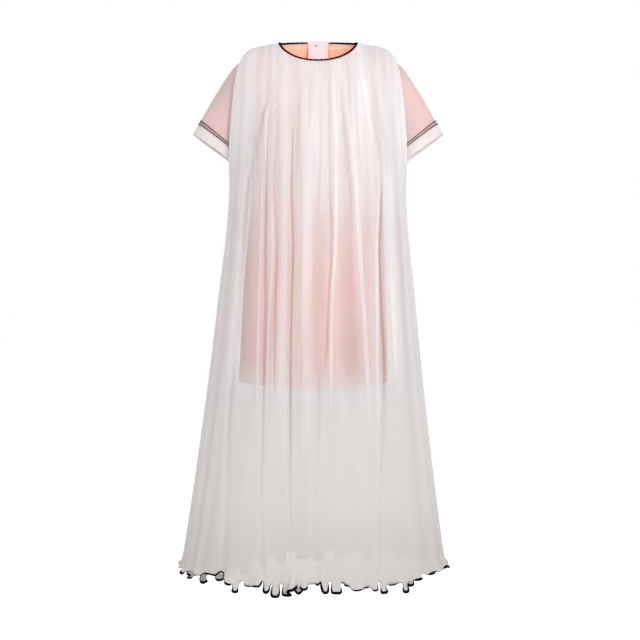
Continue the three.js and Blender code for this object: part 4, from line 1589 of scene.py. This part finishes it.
@dataclass(frozen=True)
class JerseyFinish:
    """Fine peach knit: close ribs of stitches, soft colour variation and a little sheen.

    stripe is a paler line under the neck edge, by distances along the cloth. Lower down the knit
    turns darker and duller over a span of heights: painted shade for the overlay's shadow on the slip.
    """

    name: str
    light: Colour
    shade: Colour
    wale: float = 0.0011
    course: float = 0.0009
    course_depth: float = 0.6
    blotch_scale: float = 7.0
    stripe: Pair = (-0.013, -0.007)
    stripe_edge: float = 0.002
    stripe_strength: float = 0.35
    paler: Colour = (0.97, 0.66, 0.52)
    # painted shade: the darker, duller knit lower down, and the heights it blends over
    painted_shade: Colour = (0.86, 0.49, 0.42)
    painted_shade_from: Pair = (-0.35, -0.75)
    roughness: float = 0.82
    sheen: float = 0.35

    def make(self) -> bpy.types.Material:
        """Makes the material."""
        recipe = Recipe(self.name)
        ribs = recipe.bands(recipe.cloth(BAND_SCALE / self.wale, 0.0, 0.0), "X")
        rows = recipe.bands(recipe.cloth(0.0, BAND_SCALE / self.course, 0.0), "Y")
        recipe.bump(recipe.math("MULTIPLY", ribs, recipe.math("ADD", rows, self.course_depth)), 0.0003, 0.5)
        colour = recipe.mottle(self.blotch_scale, 4.0, self.light, self.shade)
        # painted shade: darkens the knit lower down, where the overlay shades the slip
        colour = recipe.blend(recipe.ramp(recipe.axis("Z"), *self.painted_shade_from, 0.0, 1.0), colour, self.painted_shade)
        along = recipe.add("SeparateXYZ", i0=recipe.cloth(1.0, 1.0)).outputs["Y"]
        low, high = self.stripe
        below = recipe.ramp(along, low - self.stripe_edge, low, 0.0, self.stripe_strength)
        above = recipe.ramp(along, high, high + self.stripe_edge, 1.0, 0.0)
        colour = recipe.blend(recipe.math("MULTIPLY", below, above), colour, self.paler)
        recipe.set(Base_Color=colour, Roughness=self.roughness, Specular_IOR_Level=0.25)
        recipe.set(Sheen_Weight=self.sheen, Sheen_Roughness=0.4)
        return recipe.material


@dataclass(frozen=True)
class ThreadFinish:
    """Twisted sewing thread: fine slanted plies with a dull gloss."""

    name: str
    light: Colour
    dark: Colour
    ply: float = 0.0009
    roughness: float = 0.85
    gloss: float = 0.04

    def make(self) -> bpy.types.Material:
        """Makes the material."""
        recipe = Recipe(self.name)
        plies = recipe.bands(recipe.place(BAND_SCALE / self.ply), "DIAGONAL", 1.5)
        recipe.bump(plies, 0.0002, 0.6)
        recipe.set(Base_Color=recipe.blend(plies, self.dark, self.light))
        recipe.set(Roughness=self.roughness, Specular_IOR_Level=self.gloss)
        return recipe.material


@dataclass(frozen=True)
class TapeFinish:
    """Smooth woven tape: a fine flat weave with a soft gloss."""

    name: str
    light: Colour
    shade: Colour
    weave: float = 0.0007
    blotch_scale: float = 60.0
    roughness: float = 0.6

    def make(self) -> bpy.types.Material:
        """Makes the material."""
        recipe = Recipe(self.name)
        weave = recipe.add("TexChecker", Vector=recipe.cloth(1 / self.weave, 1 / self.weave), Scale=1.0)
        recipe.bump(weave.outputs["Fac"], 0.0001, 0.3)
        recipe.set(Base_Color=recipe.mottle(self.blotch_scale, 3.0, self.light, self.shade))
        recipe.set(Roughness=self.roughness, Specular_IOR_Level=0.3)
        return recipe.material


Finish = NetFinish | JerseyFinish | ThreadFinish | TapeFinish
TULLE = NetFinish(
    "tulle_off_white",
    (0.86, 0.83, 0.84),
    (0.84, 0.80, 0.82),
    0.044,
    0.45,
    0.20,
    low=(0.84, 0.80, 0.785),
    broad=0.16,
)
SLEEVE_NET = NetFinish("mesh_pale", (0.87, 0.74, 0.73), (0.76, 0.70, 0.78), 0.03, 0.06, 0.08, hole=0.0012)
CUFF_NET = NetFinish("mesh_doubled", (0.88, 0.83, 0.83), (0.85, 0.80, 0.81), 0.03, 0.06, 0.06, hole=0.0012)
JERSEY = JerseyFinish("jersey_peach", (0.97, 0.52, 0.38), (0.95, 0.49, 0.36))
NAVY = ThreadFinish("thread_navy", (0.012, 0.008, 0.014), (0.003, 0.002, 0.004))
BROWN_BLACK = ThreadFinish("thread_brown_black", (0.030, 0.011, 0.011), (0.006, 0.002, 0.003))
MAUVE = ThreadFinish("thread_mauve_grey", (0.66, 0.54, 0.58), (0.30, 0.20, 0.25))
TAPE = TapeFinish("tape_pale_pink", (0.82, 0.63, 0.63), (0.79, 0.60, 0.60))
SNAP = TapeFinish("snap_dark", (0.16, 0.09, 0.10), (0.10, 0.06, 0.07), roughness=0.35)


@dataclass(frozen=True)
class Lamp:
    """A soft square light: where it hangs, its side, its watts, the point it faces and its spread."""

    name: str
    place: Point
    size: float
    power: float
    aim: Point = (0.0, 0.0, -0.20)
    spread: float = 180.0

    def build(self) -> None:
        """Hangs the light, which the camera doesn't see."""
        data = bpy.data.lights.new(self.name, "AREA")
        data.size = self.size
        data.energy = self.power
        data.spread = math.radians(self.spread)
        lamp = bpy.data.objects.new(self.name, data)
        lamp.location = self.place
        lamp.visible_camera = False
        lamp.rotation_euler = (Vector(self.aim) - Vector(self.place)).to_track_quat("-Z", "Y").to_euler()
        bpy.context.scene.collection.objects.link(lamp)


LAMPS = (
    Lamp("key", (1.3, -2.4, 0.3), 1.4, 11.8, aim=(0.0, 0.0, -0.3), spread=80.0),
    Lamp("fill", (-1.5, -2.6, 0.2), 2.0, 18.0, aim=(0.0, 0.0, -0.3)),
    Lamp("left", (-2.4, -0.7, 0.35), 1.5, 13.0, aim=(0.0, 0.0, -0.15)),
    Lamp("right", (2.4, -0.7, -0.2), 1.5, 5.5, aim=(0.0, 0.0, -0.5)),
    Lamp("neck", (0.1, -1.6, 0.95), 0.5, 0.12, aim=(0.0, 0.05, -0.03), spread=30.0),
    Lamp("inner", (0.0, -0.03, -0.22), 0.10, 0.19, aim=(0.0, 0.07, -0.01)),
    Lamp("back", (0.2, 2.4, 0.9), 2.0, 18.0),
)


@dataclass
class Studio:
    """The pale floor, the soft lights and the camera at the photo's place.

    The floor glows where only the camera sees it, and behind the dress, so that it is as pale as
    the world from every side.
    """

    camera_at: Point = (0.005, -3.3, -0.726)
    lens: float = 70.8
    sensor: float = 36.0
    clear_layers: int = 48
    floor_z: float = -1.75
    floor_size: float = 120.0
    floor_colour: Colour = (0.75, 0.75, 0.75)
    floor_grain: float = 0.985
    floor_glow: float = 0.68
    floor_shown: float = 0.64
    glow_from: Pair = (0.55, 0.72)
    sky: float = 0.45

    def build(self) -> None:
        """Sets up the floor, world, lights and camera."""
        self.floor()
        self.world()
        for lamp in LAMPS:
            lamp.build()
        data = bpy.data.cameras.new("camera")
        data.lens = self.lens
        data.sensor_width = self.sensor
        camera = bpy.data.objects.new("camera", data)
        camera.location = self.camera_at
        camera.rotation_euler = (math.pi / 2, 0.0, 0.0)
        scene = bpy.context.scene
        scene.collection.objects.link(camera)
        scene.camera = camera
        scene.view_settings.view_transform = "Standard"
        scene.cycles.transparent_max_bounces = self.clear_layers

    def floor(self) -> None:
        """Makes the floor and its finish."""
        bm = bmesh.new()
        bmesh.ops.create_grid(bm, x_segments=8, y_segments=8, size=self.floor_size / 2)
        bmesh.ops.translate(bm, verts=bm.verts, vec=(0.0, 0.0, self.floor_z))
        floor = finish_mesh(bm, "floor")
        recipe = Recipe("floor_pale")
        shade = tuple(value * self.floor_grain for value in self.floor_colour)
        glow = recipe.ramp(recipe.axis("Y"), *self.glow_from, 0.0, self.floor_glow)
        seen = recipe.math("MULTIPLY", recipe.add("LightPath").outputs["Is Camera Ray"], self.floor_shown)
        recipe.set(
            Base_Color=recipe.blend(recipe.noise(recipe.place(3.0), 3.0), self.floor_colour, shade),
            Roughness=0.9,
            Emission_Color=(1.0, 1.0, 1.0, 1.0),
            Emission_Strength=recipe.math("MAXIMUM", glow, seen),
        )
        floor.data.materials.append(recipe.material)

    def world(self) -> None:
        """Makes the world white where the camera sees it, and grey as a light."""
        world = bpy.data.worlds.new("studio")
        world.use_nodes = True
        tree = world.node_tree
        seen = tree.nodes.new("ShaderNodeLightPath")
        lit, shown = tree.nodes.new("ShaderNodeBackground"), tree.nodes["Background"]
        mixed = tree.nodes.new("ShaderNodeMixShader")
        lit.inputs["Color"].default_value = (self.sky, self.sky, self.sky, 1.0)
        shown.inputs["Color"].default_value = (1.0, 1.0, 1.0, 1.0)
        tree.links.new(seen.outputs["Is Camera Ray"], mixed.inputs["Fac"])
        tree.links.new(lit.outputs["Background"], mixed.inputs[1])
        tree.links.new(shown.outputs["Background"], mixed.inputs[2])
        tree.links.new(mixed.outputs["Shader"], tree.nodes["World Output"].inputs["Surface"])
        bpy.context.scene.world = world


class Dress:
    """The whole garment: it builds each sub-assembly, gives it its finish and says what it is."""

    def __init__(self) -> None:
        """Makes the finishes and the panels of the overlay and the slip."""
        finishes = (TULLE, SLEEVE_NET, CUFF_NET, JERSEY, NAVY, BROWN_BLACK, MAUVE, TAPE, SNAP)
        self.finishes = {finish.name: finish.make() for finish in finishes}
        self.overlays = {
            Side.FRONT: OverlayPanel(Side.FRONT, FRONT_FOLDS, FRONT_LOBES),
            Side.BACK: OverlayPanel(Side.BACK, BACK_FOLDS, BACK_LOBES, start=1.3),
        }
        self.slips = {side: SlipPanel(side) for side in Side}

    def place(self, piece: Piece, slot: Slot, finish: Finish, node: str | None = None) -> None:
        """Dresses a piece and ties it to the frame.

        Args:
            piece: the new piece.
            slot: the record's material slot, which is not used.
            finish: the finish it takes.
            node: the CAD node that it stands for, if any.
        """
        piece.data.materials.append(self.finishes[finish.name])
        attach(piece, BODY)
        if node:
            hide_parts(node)
        LOG.info("%s: %d faces", piece.name, len(piece.data.polygons))

    def build(self) -> None:
        """Builds the garment from the inside out."""
        for slip in self.slips.values():
            piece = slip.build()
            self.place(piece, Slot.JERSEY, JERSEY, slip.name())
        for overlay in self.overlays.values():
            piece = overlay.build()
            self.place(piece, Slot.TULLE, TULLE, overlay.name())
        for hand in Hand:
            self.build_sleeve(Sleeve(hand))
        overlays, slips = (
            {side: panel.form for side, panel in panels.items()} for panels in (self.overlays, self.slips)
        )
        for piece in NeckEdging(overlays, slips).build():
            self.place(piece, Slot.THREAD, BROWN_BLACK, "neck_edging")
        self.place(HemEdging(self.overlays).build(), Slot.THREAD, NAVY)
        tab = NeckTab()
        self.place(tab.build(), Slot.TAPE, TAPE, "neck_tab")
        self.place(tab.snap(), Slot.SNAP, SNAP, "neck_snap")

    def build_sleeve(self, sleeve: Sleeve) -> None:
        """Builds one sleeve's layers, cuff and stitching."""
        label = sleeve.label()
        lining, mesh, cuff = sleeve.lining(), sleeve.mesh(), sleeve.cuff()
        self.place(lining, Slot.JERSEY, JERSEY, f"sleeve_lining_{label}")
        self.place(mesh, Slot.MESH, SLEEVE_NET, f"sleeve_mesh_{label}")
        self.place(cuff, Slot.MESH, CUFF_NET, f"cuff_{label}")
        rows, looper = sleeve.stitches()
        self.place(rows, Slot.THREAD, NAVY)
        self.place(looper, Slot.THREAD, MAUVE)


def main() -> None:
    """Builds the studio and the dress."""
    logging.basicConfig(level=logging.INFO, format="%(message)s")
    Studio().build()
    Dress().build()


if __name__ == "__main__":
    main()
